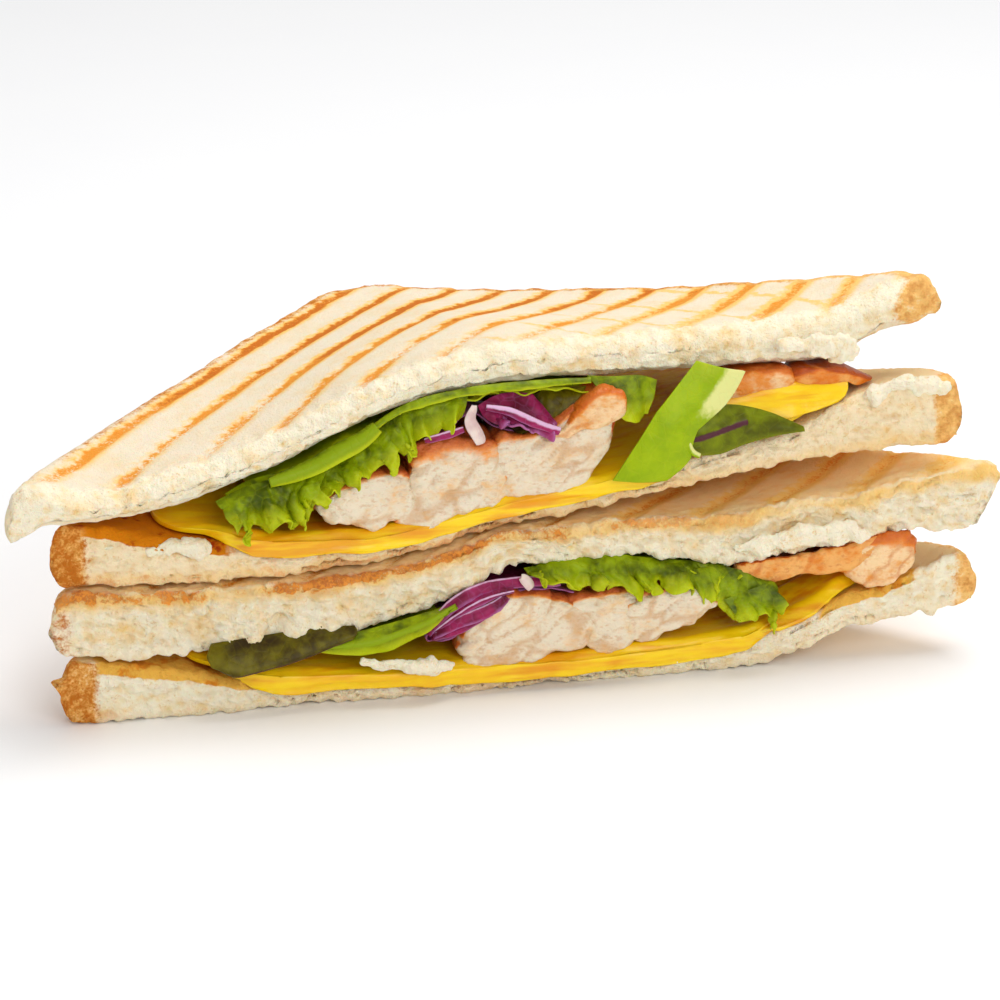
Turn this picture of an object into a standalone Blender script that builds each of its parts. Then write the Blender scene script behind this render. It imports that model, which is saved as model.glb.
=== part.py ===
"""Toasted chicken club sandwich: a square sandwich cut corner to corner, one half laid on the other.

Sizes are in millimetres and become metres as each object is made. X runs along the cut, the cut
faces look towards -Y and Z is up. Every layer is a height over the plan, worked out from the plate
upwards, so the layers can't cross.
"""

import math

import bmesh
import bpy
import numpy as np

MM = 0.001

# The square slice and its half, cut corner to corner
SLICE_SIDE = 120.0
CORNER_RADIUS = 12.0
HALF_DIAGONAL = SLICE_SIDE / math.sqrt(2.0)
CUT_HALF = HALF_DIAGONAL - CORNER_RADIUS * (math.sqrt(2.0) - 1.0)
ARC_CENTRE = HALF_DIAGONAL - CORNER_RADIUS * math.sqrt(2.0)
ARC_REACH = CORNER_RADIUS / math.sqrt(2.0)
EDGE_ROUND = 1.8
CRUST_BULGE = 0.9
CRUMB_RELIEF = 0.35

# Clearance between touching pieces
GAP = 0.4
CHEESE_GAP = 0.7

# Heights along the cut, at these places from the left end to the right end
STATIONS = (-80, -70, -55, -40, -20, 0, 20, 40, 50, 60, 70, 80)
LIFT_AT_CUT = (0, 0, 0, 0, 0, 0, 0, 0.3, 1.6, 5.4, 6.8, 7.8)
BASE_AT_CUT = (11.2, 10.6, 8.2, 4.8, 3.4, 3.2, 3.3, 4.4, 5.2, 6.2, 7.2, 10.0)
LOWER_FILLING_AT_CUT = (0.7, 0.8, 2.5, 6.6, 10.2, 15.8, 18.8, 14.2, 11.7, 8.3, 8.4, 3.2)
LID_AT_CUT = (11.3, 11.5, 11.2, 10.5, 9.3, 7.7, 6.1, 9.0, 10.4, 9.3, 8.8, 11.8)
BETWEEN_AT_CUT = (0.6, 0.6, 0.9, 0.6, 0.6, 1.0, 2.2, 5.9, 6.3, 6.6, 5.0, 3.0)
UPPER_BASE_AT_CUT = (11.0, 10.7, 7.6, 5.4, 3.6, 3.2, 3.3, 4.7, 5.2, 9.4, 12.0, 12.1)
UPPER_FILLING_AT_CUT = (0.6, 1.0, 6.2, 12.9, 21.8, 21.4, 18.2, 13.0, 10.8, 5.8, 8.4, 8.6)
TOP_AT_CUT = (9.4, 5.6, 6.1, 5.8, 5.8, 6.8, 7.1, 7.5, 8.0, 8.6, 6.6, 8.8)

# The same heights along the two crusts: left end, back corner, right end
CRUST_POWER = 1.3
LIFT_AT_CRUST = (0.0, 0.0, 7.8)
BASE_AT_CRUST = (10.6, 9.5, 10.0)
LOWER_FILLING_AT_CRUST = (1.0, 4.8, 4.0)
LID_AT_CRUST = (10.4, 9.4, 11.8)
BETWEEN_AT_CRUST = (0.6, 0.6, 3.0)
UPPER_BASE_AT_CRUST = (10.0, 9.4, 12.1)
UPPER_FILLING_AT_CRUST = (1.0, 5.0, 8.0)
TOP_AT_CRUST = (8.6, 9.1, 9.0)

# The top slice hangs past the left end of the slice under it
DROOP_FROM = -75.5
DROOP_RUN = 8.0
DROOP = 3.2

# How each slice lies in plan: turn in degrees, shift along X and Y, and its size
BASE_PLAN = (-1.1, 4.2, -2.4, 0.972)
LID_PLAN = (-1.1, 3.9, -2.5, 0.985)
UPPER_BASE_PLAN = (0.0, 2.6, 0.0, 0.966)
TOP_PLAN = (3.5, -2.5, 0.0, 1.0)

SLICE_ROWS = (0.0, 3.0, 9.0, 18.0, 29.0, 40.0, 51.0, 61.0, 69.0, 75.0, 78.3, 79.5)
SLICE_COLUMNS = (-1.0, -0.985, -0.95, -0.88, -0.78, -0.67, -0.55, -0.4, -0.27, -0.13, 0.0)
WALL_ROWS = 2

CHEESE_THICKNESS = 2.2
CHEESE_END_THICKNESS = 1.2
CHEESE_LIP = 1.5
LEAF_THICKNESS = 0.8
LOWER_CHEESE_SPAN = (-53.0, 52.0)
UPPER_CHEESE_SPAN = (-57.0, 60.0)

# Outlines at the cut, as places along it and heights above the plate
CHICKEN_UPPER_LEFT = (
    (-32, 33.8), (-28, 37.5), (-23.5, 39.2), (-18.8, 38.4), (-17.8, 35), (-19.5, 31.5), (-24, 30.4), (-29, 31.8),
)
CHICKEN_UPPER_MIDDLE = (
    (-16.6, 33.5), (-16.2, 37.5), (-14, 41), (-9, 42.6), (-4.5, 42.2), (-0.9, 43), (0, 39.5), (0.5, 36.8),
    (3.4, 34.8), (-4, 32), (-11, 31.8),
)
CHICKEN_UPPER_RIGHT = (
    (1, 41.8), (6, 41.6), (10.4, 44.4), (13, 47.3), (16.6, 49), (19, 48), (20.5, 44.5), (18, 38.9), (14, 35.4),
    (10, 34.9), (5.6, 35.6), (1.8, 37.9),
)
CHICKEN_UPPER_SLICE = ((34, 42.8), (37, 44.4), (41, 49.6), (47, 49.2), (51.2, 47), (48, 45), (41, 43))
CHICKEN_UPPER_CORNER = ((52.5, 50.4), (58.5, 49.9), (66, 49.6), (61, 48.6), (53.5, 46))
CHICKEN_LOWER_LEFT = (
    (-8, 9.2), (-3, 11.7), (1, 13.6), (4, 14.6), (8.4, 14.4), (10.4, 12), (12.4, 7.4), (9, 6), (0, 5.2), (-5, 6.2),
)
CHICKEN_LOWER_MIDDLE = ((11.2, 14.4), (16, 15), (20, 14.6), (21, 10), (22.6, 7.4), (18, 5.6), (13.4, 7.4), (11.6, 11.6))
CHICKEN_LOWER_RIGHT = ((21.4, 14.6), (27, 14.9), (31, 17.4), (34.4, 14), (35.4, 11), (29, 8.4), (23.6, 8.6), (22.2, 11))
CHICKEN_LOWER_CORNER = (
    (41, 17.8), (49, 17.9), (57, 18.6), (63.5, 20.6), (69.5, 21.4), (71, 17.4), (67, 12.6), (62, 13.8), (56, 14.6),
    (49, 14.2), (43, 14.2),
)
RADICCHIO_UPPER = ((-13, 43.8), (-8.5, 44.8), (-6.2, 47), (-3.4, 47.7), (-1, 45.6), (4, 44.2), (9, 45.4), (11, 47.2))
RADICCHIO_LOWER = ((12, 16.7), (4.5, 17.4), (-2.4, 16.9), (-8, 14.2), (-12.2, 11.6), (-12.4, 9.9), (-9.2, 10), (-4.6, 12.6), (0.4, 15))
RIBBON_LOWER = ((-27, 9.3), (-21, 10.2), (-15.6, 11.8), (-10.8, 14.5))


def smooth_step(share):
    share = np.clip(share, 0.0, 1.0)
    return share * share * (3.0 - 2.0 * share)


def along_cut(values):
    """A smooth curve through one height at each station along the cut."""
    places = np.array(STATIONS, float)
    heights = np.array(values, float)
    slopes = np.gradient(heights, places)

    def height(x):
        x = np.clip(x, places[0], places[-1])
        i = np.clip(np.searchsorted(places, x) - 1, 0, len(places) - 2)
        span = places[i + 1] - places[i]
        t = (x - places[i]) / span
        rise = t * t * (3.0 - 2.0 * t)
        start = t * (1.0 - t) ** 2 * span
        end = -t * t * (1.0 - t) * span
        return heights[i] * (1.0 - rise) + heights[i + 1] * rise + start * slopes[i] + end * slopes[i + 1]

    return height


def along_crust(values):
    """A height that runs from the left end to the back corner and on to the right end."""
    left, back, right = values

    def height(x):
        share = np.clip(np.abs(x) / CUT_HALF, 0.0, 1.0) ** CRUST_POWER
        return back + (np.where(x < 0.0, left, right) - back) * share

    return height


def layer(at_cut, at_crust, least=None):
    """The height of one layer over the plan, blended from the cut face to the crusts."""
    front, back = along_cut(at_cut), along_crust(at_crust)

    def height(x, y):
        share = smooth_step((y + 2.0) / (HALF_DIAGONAL - np.minimum(np.abs(x), CUT_HALF) + 2.0))
        value = front(x) * (1.0 - share) + back(x) * share
        return value if least is None else np.maximum(value, least)

    return height


def stacked(*layers):
    """The sum of several layers: a surface at a height above the plate."""
    return lambda x, y: sum(one(x, y) for one in layers)


lift = layer(LIFT_AT_CUT, LIFT_AT_CRUST, 0.0)
base_top = stacked(lift, layer(BASE_AT_CUT, BASE_AT_CRUST))
lid_bottom = stacked(base_top, layer(LOWER_FILLING_AT_CUT, LOWER_FILLING_AT_CRUST, GAP))
lid_top = stacked(lid_bottom, layer(LID_AT_CUT, LID_AT_CRUST))
upper_base_bottom = stacked(lid_top, layer(BETWEEN_AT_CUT, BETWEEN_AT_CRUST, GAP))
upper_base_top = stacked(upper_base_bottom, layer(UPPER_BASE_AT_CUT, UPPER_BASE_AT_CRUST))
top_bottom = stacked(upper_base_top, layer(UPPER_FILLING_AT_CUT, UPPER_FILLING_AT_CRUST))
top_top = stacked(top_bottom, layer(TOP_AT_CUT, TOP_AT_CRUST))


def droop(x, y):
    return -DROOP * smooth_step((DROOP_FROM - x) / DROOP_RUN)


def cheese_thickness(x, span):
    """The cheese is thinner towards its two ends."""
    inside = np.minimum(x - span[0], span[1] - x)
    return CHEESE_END_THICKNESS + (CHEESE_THICKNESS - CHEESE_END_THICKNESS) * smooth_step(inside / 14.0)


def over_cheese(bread_top, span):
    """The height that a filling rests at: on the cheese, or on the bread beyond it."""

    def height(x, y):
        covered = smooth_step((span[1] + 3.0 - x) / 2.5)
        return bread_top(x, y) + CHEESE_GAP + (cheese_thickness(x, span) + GAP) * covered

    return height


def below(ceiling, room):
    return lambda x, y: ceiling(x, y) - room


def half_width(depth):
    """Half the width of the halved slice at a depth behind its cut."""
    depth = np.asarray(depth, float)
    tip = ARC_CENTRE + np.sqrt(np.maximum(CORNER_RADIUS**2 - depth**2, 0.0))
    leg = HALF_DIAGONAL - depth
    back = np.sqrt(np.maximum(CORNER_RADIUS**2 - (depth - ARC_CENTRE) ** 2, 0.0))
    beside = np.where(depth < ARC_REACH, tip, leg)
    return np.where(depth > HALF_DIAGONAL - ARC_REACH, back, beside)


def placed(plan, u, v):
    """A slice's own plan point moved to where the slice lies."""
    turn, shift_x, shift_y, size = plan
    angle = math.radians(turn)
    x = size * (u * math.cos(angle) - v * math.sin(angle)) + shift_x
    y = size * (u * math.sin(angle) + v * math.cos(angle)) + shift_y
    return x, y


def cut_line(plan, x):
    """Where a slice's cut face stands in Y at a place along the cut."""
    return plan[2] + math.tan(math.radians(plan[0])) * (x - plan[1])


def smooth_curve(points, count, closed=False):
    """Points along a smooth curve through the given ones."""
    given = np.array(points, float)
    last = len(given) if closed else len(given) - 1
    made = []
    for share in np.linspace(0.0, last, count, endpoint=not closed):
        k = min(int(share), last - 1)
        t = share - k
        if closed:
            a, b, c, d = (given[(k + step) % len(given)] for step in (-1, 0, 1, 2))
        else:
            a, b, c, d = (given[min(max(k + step, 0), last)] for step in (-1, 0, 1, 2))
        curve = 2.0 * b + (c - a) * t + (2.0 * a - 5.0 * b + 4.0 * c - d) * t**2
        made.append(0.5 * (curve + (3.0 * b - a - 3.0 * c + d) * t**3))
    return np.array(made)


def material(name, colour, roughness):
    made = bpy.data.materials.new(name)
    made.use_nodes = True
    shader = made.node_tree.nodes["Principled BSDF"]
    shader.inputs["Base Color"].default_value = (*colour, 1.0)
    shader.inputs["Roughness"].default_value = roughness
    made.diffuse_color = (*colour, 1.0)
    return made


def add_object(name, points, faces, finish):
    """One closed object from points in millimetres and faces that point outwards."""
    mesh = bpy.data.meshes.new(name)
    mesh.from_pydata((np.asarray(points, float) * MM).tolist(), [], faces)
    mesh.materials.append(finish)
    mesh.shade_smooth()
    made = bpy.data.objects.new(name, mesh)
    bpy.context.scene.collection.objects.link(made)
    return made


def split_caps(piece):
    """Cuts the many-sided end faces into triangles."""
    made = bmesh.new()
    made.from_mesh(piece.data)
    bmesh.ops.triangulate(made, faces=[face for face in made.faces if len(face.verts) > 3])
    made.to_mesh(piece.data)
    made.free()


def rim_of(rows, columns):
    """The border of a grid, once round."""
    rim = [(0, j) for j in range(columns)]
    rim += [(i, columns - 1) for i in range(1, rows)]
    rim += [(rows - 1, j) for j in range(columns - 2, -1, -1)]
    return rim + [(i, 0) for i in range(rows - 2, 0, -1)]


def closed_sheet(name, upper, lower, finish, wall_rows=0, bulge=0.0):
    """A solid between two grids of points, both split alike, with a wall round their edges."""
    rows, columns = upper.shape[:2]
    below_it = rows * columns
    faces = []
    for i in range(rows - 1):
        for j in range(columns - 1):
            a, b = i * columns + j, i * columns + j + 1
            c, d = b + columns, a + columns
            faces += [(a, b, c), (a, c, d)]
            faces += [(below_it + c, below_it + b, below_it + a), (below_it + d, below_it + c, below_it + a)]
    rim = rim_of(rows, columns)
    loops = [[i * columns + j for i, j in rim]]
    centre = upper.reshape(-1, 3).mean(axis=0)
    points = upper.reshape(-1, 3).tolist() + lower.reshape(-1, 3).tolist()
    for row in range(1, wall_rows + 1):
        share = row / (wall_rows + 1)
        loops.append(list(range(len(points), len(points) + len(rim))))
        for i, j in rim:
            middle = upper[i, j] * (1.0 - share) + lower[i, j] * share
            outward = (middle - centre) * (1.0, 1.0, 0.0)
            outward /= max(np.linalg.norm(outward), 1e-6)
            on_cut = i == 0 and 0 < j < columns - 1
            points.append(middle + outward * (0.0 if on_cut else bulge) * math.sin(math.pi * share))
    loops.append([below_it + i * columns + j for i, j in rim])
    for high, low in zip(loops, loops[1:]):
        for k in range(len(rim)):
            n = (k + 1) % len(rim)
            faces += [(high[k], low[k], low[n]), (high[k], low[n], high[n])]
    return add_object(name, np.array(points), faces, finish)


def pull_flake(piece, at, reach, push):
    """A torn flake: the skin near one point drawn out of a slice."""
    centre, move = np.array(at) * MM, np.array(push) * MM
    for vertex in piece.data.vertices:
        nearness = 1.0 - np.linalg.norm(np.array(vertex.co) - centre) / (reach * MM)
        if nearness > 0.0:
            vertex.co = (np.array(vertex.co) + move * nearness).tolist()


def bread_slice(name, plan, under, over, finish, seed):
    """Half a slice of toast bread: a rounded triangle with a soft crust edge and a sawn cut face."""
    columns = np.array(SLICE_COLUMNS + tuple(-c for c in reversed(SLICE_COLUMNS[:-1])))
    rows = np.array(SLICE_ROWS)
    width = half_width(rows)[:, None]
    u = columns[None, :] * width
    v = np.repeat(rows[:, None], len(columns), axis=1)
    inset = np.minimum((width - np.abs(u)) * math.sqrt(0.5), CUT_HALF - v)
    left = np.clip(EDGE_ROUND - inset, 0.0, EDGE_ROUND)
    rounding = EDGE_ROUND - np.sqrt(EDGE_ROUND**2 - left**2)
    draw = np.random.default_rng(seed)
    v[0] += draw.uniform(-CRUMB_RELIEF, CRUMB_RELIEF, len(columns))
    x, y = placed(plan, u, v)
    upper = np.stack([x, y, over(x, y) - rounding], axis=-1)
    lower = np.stack([x, y, under(x, y) + rounding], axis=-1)
    return closed_sheet(name, upper, lower, finish, WALL_ROWS, CRUST_BULGE)


def cheese_sheet(name, plan, bed, finish, span, lip):
    """A melted cheese slice that follows the bread under it and runs over the cut as a soft lip."""
    along = np.linspace(span[0], span[1], 19)
    shares = np.array([0.0, 0.0, 0.06, 0.2, 0.4, 0.62, 0.82, 1.0])
    steps = np.array([0.0, 0.6, 0.0, 0.0, 0.0, 0.0, 0.0, 0.0])
    hangs = smooth_step((along - lip[0]) / 9.0) * smooth_step((lip[1] - along) / 9.0)
    front = 1.8 - hangs * 3.7
    reach = np.maximum((HALF_DIAGONAL - np.abs(along)) * plan[3] - 5.0 - front, 6.0)
    x = np.repeat(along[None, :], len(shares), axis=0)
    y = cut_line(plan, x) + front[None, :] + steps[:, None] + shares[:, None] * reach[None, :]
    low = bed(x, y) + CHEESE_GAP
    low[0] -= CHEESE_LIP * np.clip((-0.9 - front) / 0.8, 0.0, 1.0)
    high = low + cheese_thickness(x, span)
    high[0] -= 0.4
    upper = np.stack([x, y, high], axis=-1)
    lower = np.stack([x, y, low], axis=-1)
    return closed_sheet(name, upper, lower, finish)


class FillingSpace:
    """The room between the cheese and the bread above it, which every filling follows backwards."""

    def __init__(self, plan, bed, roof):
        self.plan = plan
        self.bed = bed
        self.roof = roof

    def front(self, x):
        return cut_line(self.plan, x)

    def follow(self, x, depth, height):
        """The point that stands at the same share of the room, a depth behind the cut."""
        start, y = self.front(x), self.front(x) + depth
        floor, room = self.bed(x, start), self.roof(x, start) - self.bed(x, start)
        share = (height - floor) / room
        return y, self.bed(x, y) + share * (self.roof(x, y) - self.bed(x, y))


def chicken_piece(name, finish, outline, space, depth, room_above):
    """A chunk of cooked breast: a rounded outline at the cut, drawn back into the sandwich."""
    ring = smooth_curve(outline, 18, closed=True)[::-1]
    centre = ring.mean(axis=0)
    front = space.front(centre[0])
    halfway = 0.5 * (space.bed(centre[0], front) + space.roof(centre[0], front) - room_above)
    shares = (0.0, 0.02, 0.08, 0.3, 0.6, 0.85, 1.0)
    scales = (0.86, 0.95, 0.98, 0.98, 0.9, 0.7, 0.35)
    points, faces = [], []
    for share, scale in zip(shares, scales):
        x = centre[0] + (ring[:, 0] - centre[0]) * scale
        height = halfway + (ring[:, 1] - halfway) * scale
        y, z = space.follow(x, depth[0] + share * (depth[1] - depth[0]), height)
        low, high = space.bed(x, y), space.roof(x, y) - room_above
        points += np.stack([x, y, np.clip(z, low, np.maximum(high, low + 1.0))], axis=-1).tolist()
    count = len(ring)
    for start in range(0, count * (len(shares) - 1), count):
        for k in range(count):
            a, b = start + k, start + (k + 1) % count
            faces += [(a, b + count, b), (a, a + count, b + count)]
    last = count * (len(shares) - 1)
    faces += [tuple(range(count)), tuple(range(last + count - 1, last - 1, -1))]
    piece = add_object(name, points, faces, finish)
    split_caps(piece)
    return piece


def leaf(name, finish, surface, columns, rows, thickness=LEAF_THICKNESS):
    """A thin wavy leaf over a surface that gives a point for each share along and across it."""
    along, across = np.meshgrid(np.linspace(0.0, 1.0, columns), np.linspace(0.0, 1.0, rows))
    middle = np.stack(surface(along, across), axis=-1)
    normal = np.cross(np.gradient(middle, axis=1), np.gradient(middle, axis=0))
    normal /= np.linalg.norm(normal, axis=-1, keepdims=True)
    upper = middle + normal * thickness * 0.5
    lower = middle - normal * thickness * 0.5
    return closed_sheet(name, upper, lower, finish)


def folded_leaf(name, finish, outline, space, depth, columns, rows, rise=0.0):
    """A leaf seen edge-on at the cut: its folded edge drawn back into the sandwich."""
    edge = smooth_curve(outline, columns)

    def surface(along, across):
        x = np.repeat(edge[None, :, 0], rows, axis=0)
        height = np.repeat(edge[None, :, 1], rows, axis=0)
        y, z = space.follow(x, depth[0] + across * (depth[1] - depth[0]), height)
        return x, y, z + rise * across

    return leaf(name, finish, surface, columns, rows)


def ruffle(share, waves, phase=0.0):
    return np.sin(2.0 * math.pi * (waves * share + phase))


def roof_leaf(name, finish, space, ends, hem, waves, columns, rows):
    """A leaf that lies under a slice and turns down at the cut, where its ruffled hem hangs."""
    places, drops = zip(*hem)

    def surface(along, across):
        x = ends[0] + (ends[1] - ends[0]) * along
        reach = (HALF_DIAGONAL - np.abs(x)) * 0.62 - 4.0
        back = np.clip((across - 0.34) / 0.66, 0.0, 1.0)
        y = space.front(x) + np.where(across < 0.34, -0.6 + 3.0 * across / 0.34, 2.4 + back * reach)
        turned = (1.0 - np.clip(across / 0.34, 0.0, 1.0)) ** 1.5
        wave = 0.5 * ruffle(along, waves) * (1.0 - back)
        roof = space.roof(x, y) - 1.4 + np.minimum(wave, 0.35)
        hanging = np.interp(x, places, drops) + wave
        y = y - 0.9 * turned * (1.0 + ruffle(along, waves, 0.2))
        return x, y, roof * (1.0 - turned) + hanging * turned

    return leaf(name, finish, surface, columns, rows)


def build_bread(bread):
    base = bread_slice("base_bread", BASE_PLAN, lift, base_top, bread, 1)
    lid = bread_slice("lid_bread", LID_PLAN, lid_bottom, lid_top, bread, 2)
    bread_slice("upper_base_bread", UPPER_BASE_PLAN, upper_base_bottom, upper_base_top, bread, 3)
    bread_slice("top_bread", TOP_PLAN, stacked(top_bottom, droop), stacked(top_top, droop), bread, 4)
    pull_flake(base, (-74.4, -1.0, 7.2), 2.4, (-3.4, -0.4, 1.0))
    pull_flake(lid, (82.8, -4.0, 31.8), 2.8, (5.8, -0.4, 2.0))


def build_cheese(cheese):
    cheese_sheet("cheese_lower", BASE_PLAN, base_top, cheese, LOWER_CHEESE_SPAN, (-50.0, 45.0))
    cheese_sheet("cheese_upper", UPPER_BASE_PLAN, upper_base_top, cheese, UPPER_CHEESE_SPAN, (-48.0, 34.0))


def build_chicken(chicken, upper, lower):
    chicken_piece("chicken_upper_left", chicken, CHICKEN_UPPER_LEFT, upper, (-0.8, 34.0), 3.0)
    chicken_piece("chicken_upper_middle", chicken, CHICKEN_UPPER_MIDDLE, upper, (-0.9, 46.0), 3.0)
    chicken_piece("chicken_upper_right", chicken, CHICKEN_UPPER_RIGHT, upper, (-0.5, 44.0), 3.0)
    chicken_piece("chicken_upper_slice", chicken, CHICKEN_UPPER_SLICE, upper, (7.2, 27.0), 0.0)
    chicken_piece("chicken_upper_corner", chicken, CHICKEN_UPPER_CORNER, upper, (6.5, 16.0), 0.0)
    chicken_piece("chicken_lower_left", chicken, CHICKEN_LOWER_LEFT, lower, (-1.0, 40.0), 3.0)
    chicken_piece("chicken_lower_middle", chicken, CHICKEN_LOWER_MIDDLE, lower, (-0.3, 36.0), 3.0)
    chicken_piece("chicken_lower_right", chicken, CHICKEN_LOWER_RIGHT, lower, (-0.8, 32.0), 3.0)
    chicken_piece("chicken_lower_corner", chicken, CHICKEN_LOWER_CORNER, lower, (3.0, 17.0), 0.0)


def build_leaves(lettuce, dark_lettuce, radicchio, upper, lower):
    upper_hem = ((-44, 36.6), (-36, 39), (-30, 40.8), (-22, 44.6), (-14, 49), (0, 50.6), (14, 50.4), (22, 50))
    lower_hem = ((7, 19.2), (14, 18.8), (17, 17), (26, 16.8), (31, 18.9), (36, 15.8), (41, 16.4))
    roof_leaf("lettuce_upper_leaf", lettuce, upper, (-42.0, 19.4), upper_hem, 5, 25, 8)
    roof_leaf("lettuce_lower_leaf", lettuce, lower, (7.0, 41.0), lower_hem, 4, 21, 8)

    def upper_frill(along, across):
        x = -48.0 + 33.0 * along
        hem = np.interp(x, (-48, -43, -35, -30, -27, -15), (35.4, 32.2, 32.8, 37.6, 40.2, 43))
        wave = ruffle(along, 5)
        y = upper.front(x) + 6.0 * (1.0 - across) - 1.2 + (0.4 + 0.9 * across) * wave
        roof = upper.roof(x, y) - 3.2
        return x, y, roof * (1.0 - across) + (hem + 0.6 * ruffle(along, 5, 0.3)) * across

    def upper_flap(along, across):
        x = 20.6 + 5.8 * along + 0.8 * across
        return x, upper.front(x) - 0.2 + 0.6 * ruffle(along, 0.8), 50.0 - 5.2 * across + 0.6 * along

    def upper_blade(along, across):
        left = np.interp(across, (0, 0.3, 0.6, 0.8, 1), (18.4, 21.6, 25.8, 29.2, 33.2))
        right = np.interp(across, (0, 0.3, 0.6, 0.8, 1), (27.6, 31.4, 32.6, 36.8, 41))
        low = np.interp(across, (0, 0.3, 0.6, 0.8, 1), (35.8, 40.9, 47, 50.6, 54.8))
        high = np.interp(across, (0, 0.3, 0.6, 0.8, 1), (35.2, 39, 43.6, 47.4, 52.4))
        y = -3.4 - 0.8 * np.sin(math.pi * across) - 0.7 * np.sin(math.pi * along) + 2.0 * across**2
        return left + (right - left) * along, y, low + (high - low) * along

    def upper_dark_leaf(along, across):
        x = 33.6 + 18.6 * along
        spread = smooth_step((1.0 - along) / 0.8) ** 0.6 + 0.15
        y = upper.front(x) - 0.9 + 5.6 * across * spread
        curl = 0.7 * (1.0 - along) * np.sin(math.pi * across)
        return x, y, upper.bed(x, y) + 0.7 + (2.9 * across**1.4 * spread + curl)

    def lower_frill(along, across):
        x = 37.0 + 12.0 * along + 0.8 * ruffle(across, 1.0)
        y = lower.front(x) - 3.3 - 1.0 * across + 0.8 * ruffle(along, 1.5)
        hem = 7.2 - 1.8 * smooth_step((along - 0.4) / 0.4)
        top = 15.2 - 2.6 * along
        return x, y, top - (top - hem) * across

    def lower_dark_leaf(along, across):
        x = -50.0 + 20.0 * along
        y = lower.front(x) + 0.5 - 3.2 * across**0.55
        top, hem = lid_bottom(x, y) - 0.9, base_top(x, y) + 1.2
        return x, y, top - (top - hem) * across**1.3

    leaf("lettuce_upper_frill", lettuce, upper_frill, 29, 6)
    leaf("lettuce_upper_flap", lettuce, upper_flap, 5, 4)
    leaf("lettuce_upper_blade", lettuce, upper_blade, 6, 9)
    leaf("lettuce_upper_dark", dark_lettuce, upper_dark_leaf, 10, 6)
    leaf("lettuce_lower_frill", lettuce, lower_frill, 10, 6)
    folded_leaf("lettuce_lower_ribbon", lettuce, RIBBON_LOWER, lower, (-0.6, 12.0), 10, 5)
    leaf("lettuce_lower_dark", dark_lettuce, lower_dark_leaf, 14, 5)
    folded_leaf("radicchio_upper", radicchio, RADICCHIO_UPPER, upper, (0.2, 20.0), 19, 5)
    folded_leaf("radicchio_lower", radicchio, RADICCHIO_LOWER, lower, (-0.4, 18.0), 25, 4)


def centre_on_plate():
    """Moves the pieces so that the middle of their footprint is the origin."""
    meshes = [piece.data for piece in bpy.context.scene.objects]
    points = np.concatenate([np.array([v.co[:] for v in mesh.vertices]) for mesh in meshes])
    low, high = points.min(axis=0), points.max(axis=0)
    shift = (-(low[0] + high[0]) / 2.0, -(low[1] + high[1]) / 2.0, -low[2])
    for mesh in meshes:
        for vertex in mesh.vertices:
            vertex.co = [value + move for value, move in zip(vertex.co, shift)]


def main():
    for old in list(bpy.data.objects):
        bpy.data.objects.remove(old)
    upper = FillingSpace(UPPER_BASE_PLAN, over_cheese(upper_base_top, UPPER_CHEESE_SPAN), below(top_bottom, GAP))
    lower = FillingSpace(BASE_PLAN, over_cheese(base_top, LOWER_CHEESE_SPAN), below(lid_bottom, GAP))
    build_bread(material("toast_bread", (0.93, 0.84, 0.66), 0.9))
    build_cheese(material("yellow_cheese", (0.93, 0.62, 0.04), 0.35))
    build_chicken(material("cooked_chicken", (0.9, 0.78, 0.68), 0.5), upper, lower)
    build_leaves(
        material("green_lettuce", (0.36, 0.56, 0.05), 0.4),
        material("dark_lettuce", (0.16, 0.3, 0.04), 0.4),
        material("radicchio", (0.42, 0.08, 0.28), 0.35),
        upper,
        lower,
    )
    centre_on_plate()


main()
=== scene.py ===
"""Looks of a toasted chicken club sandwich: torn crumb, grill marks, melted cheese, chicken and leaves.

Sizes are in millimetres in the sandwich's own layout, where X runs along the cut, the cut faces look
towards -Y and Z is up. They become metres in the part's frame when a mesh is made. A lamp's size and
place are in metres.
"""

import itertools
import logging
import math
from dataclasses import dataclass, field
from enum import Enum
from typing import Callable

import bpy
import numpy as np
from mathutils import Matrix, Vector


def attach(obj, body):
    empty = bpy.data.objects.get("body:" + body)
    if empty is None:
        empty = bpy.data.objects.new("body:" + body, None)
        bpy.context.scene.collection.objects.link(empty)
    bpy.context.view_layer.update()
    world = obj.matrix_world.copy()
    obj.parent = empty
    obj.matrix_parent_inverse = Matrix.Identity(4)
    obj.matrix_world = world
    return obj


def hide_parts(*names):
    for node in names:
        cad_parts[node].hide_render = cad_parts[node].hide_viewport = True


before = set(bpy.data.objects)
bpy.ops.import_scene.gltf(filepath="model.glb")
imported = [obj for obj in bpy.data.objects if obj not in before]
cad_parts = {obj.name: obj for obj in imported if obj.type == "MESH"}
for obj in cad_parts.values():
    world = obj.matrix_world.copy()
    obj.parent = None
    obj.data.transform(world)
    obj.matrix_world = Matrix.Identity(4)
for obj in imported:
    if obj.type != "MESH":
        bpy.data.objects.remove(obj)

Array = np.ndarray
Material = bpy.types.Material
Pair = tuple[float, float]
Triple = tuple[float, float, float]
Surface = Callable[[Array, Array], Array]
Patch = Callable[[Array, Array], tuple[Array, Array, Array]]
Colour = tuple[float, float, float, float]

log = logging.getLogger("sandwich")

MM = 0.001
ORIGIN = np.array([-1.85, -35.90, 0.0])
BODY = "root"
LEAST_HEIGHT = 0.02
FIRST_BAR = 4.5
BAR_SPACING = 9.7
PATCH_COLUMNS = 60
PATCH_ROWS = 40


def smooth_step(share: Array) -> Array:
    """Eases a share from 0 to 1, and holds it beyond."""
    share = np.clip(share, 0.0, 1.0)
    return share * share * (3.0 - 2.0 * share)


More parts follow.
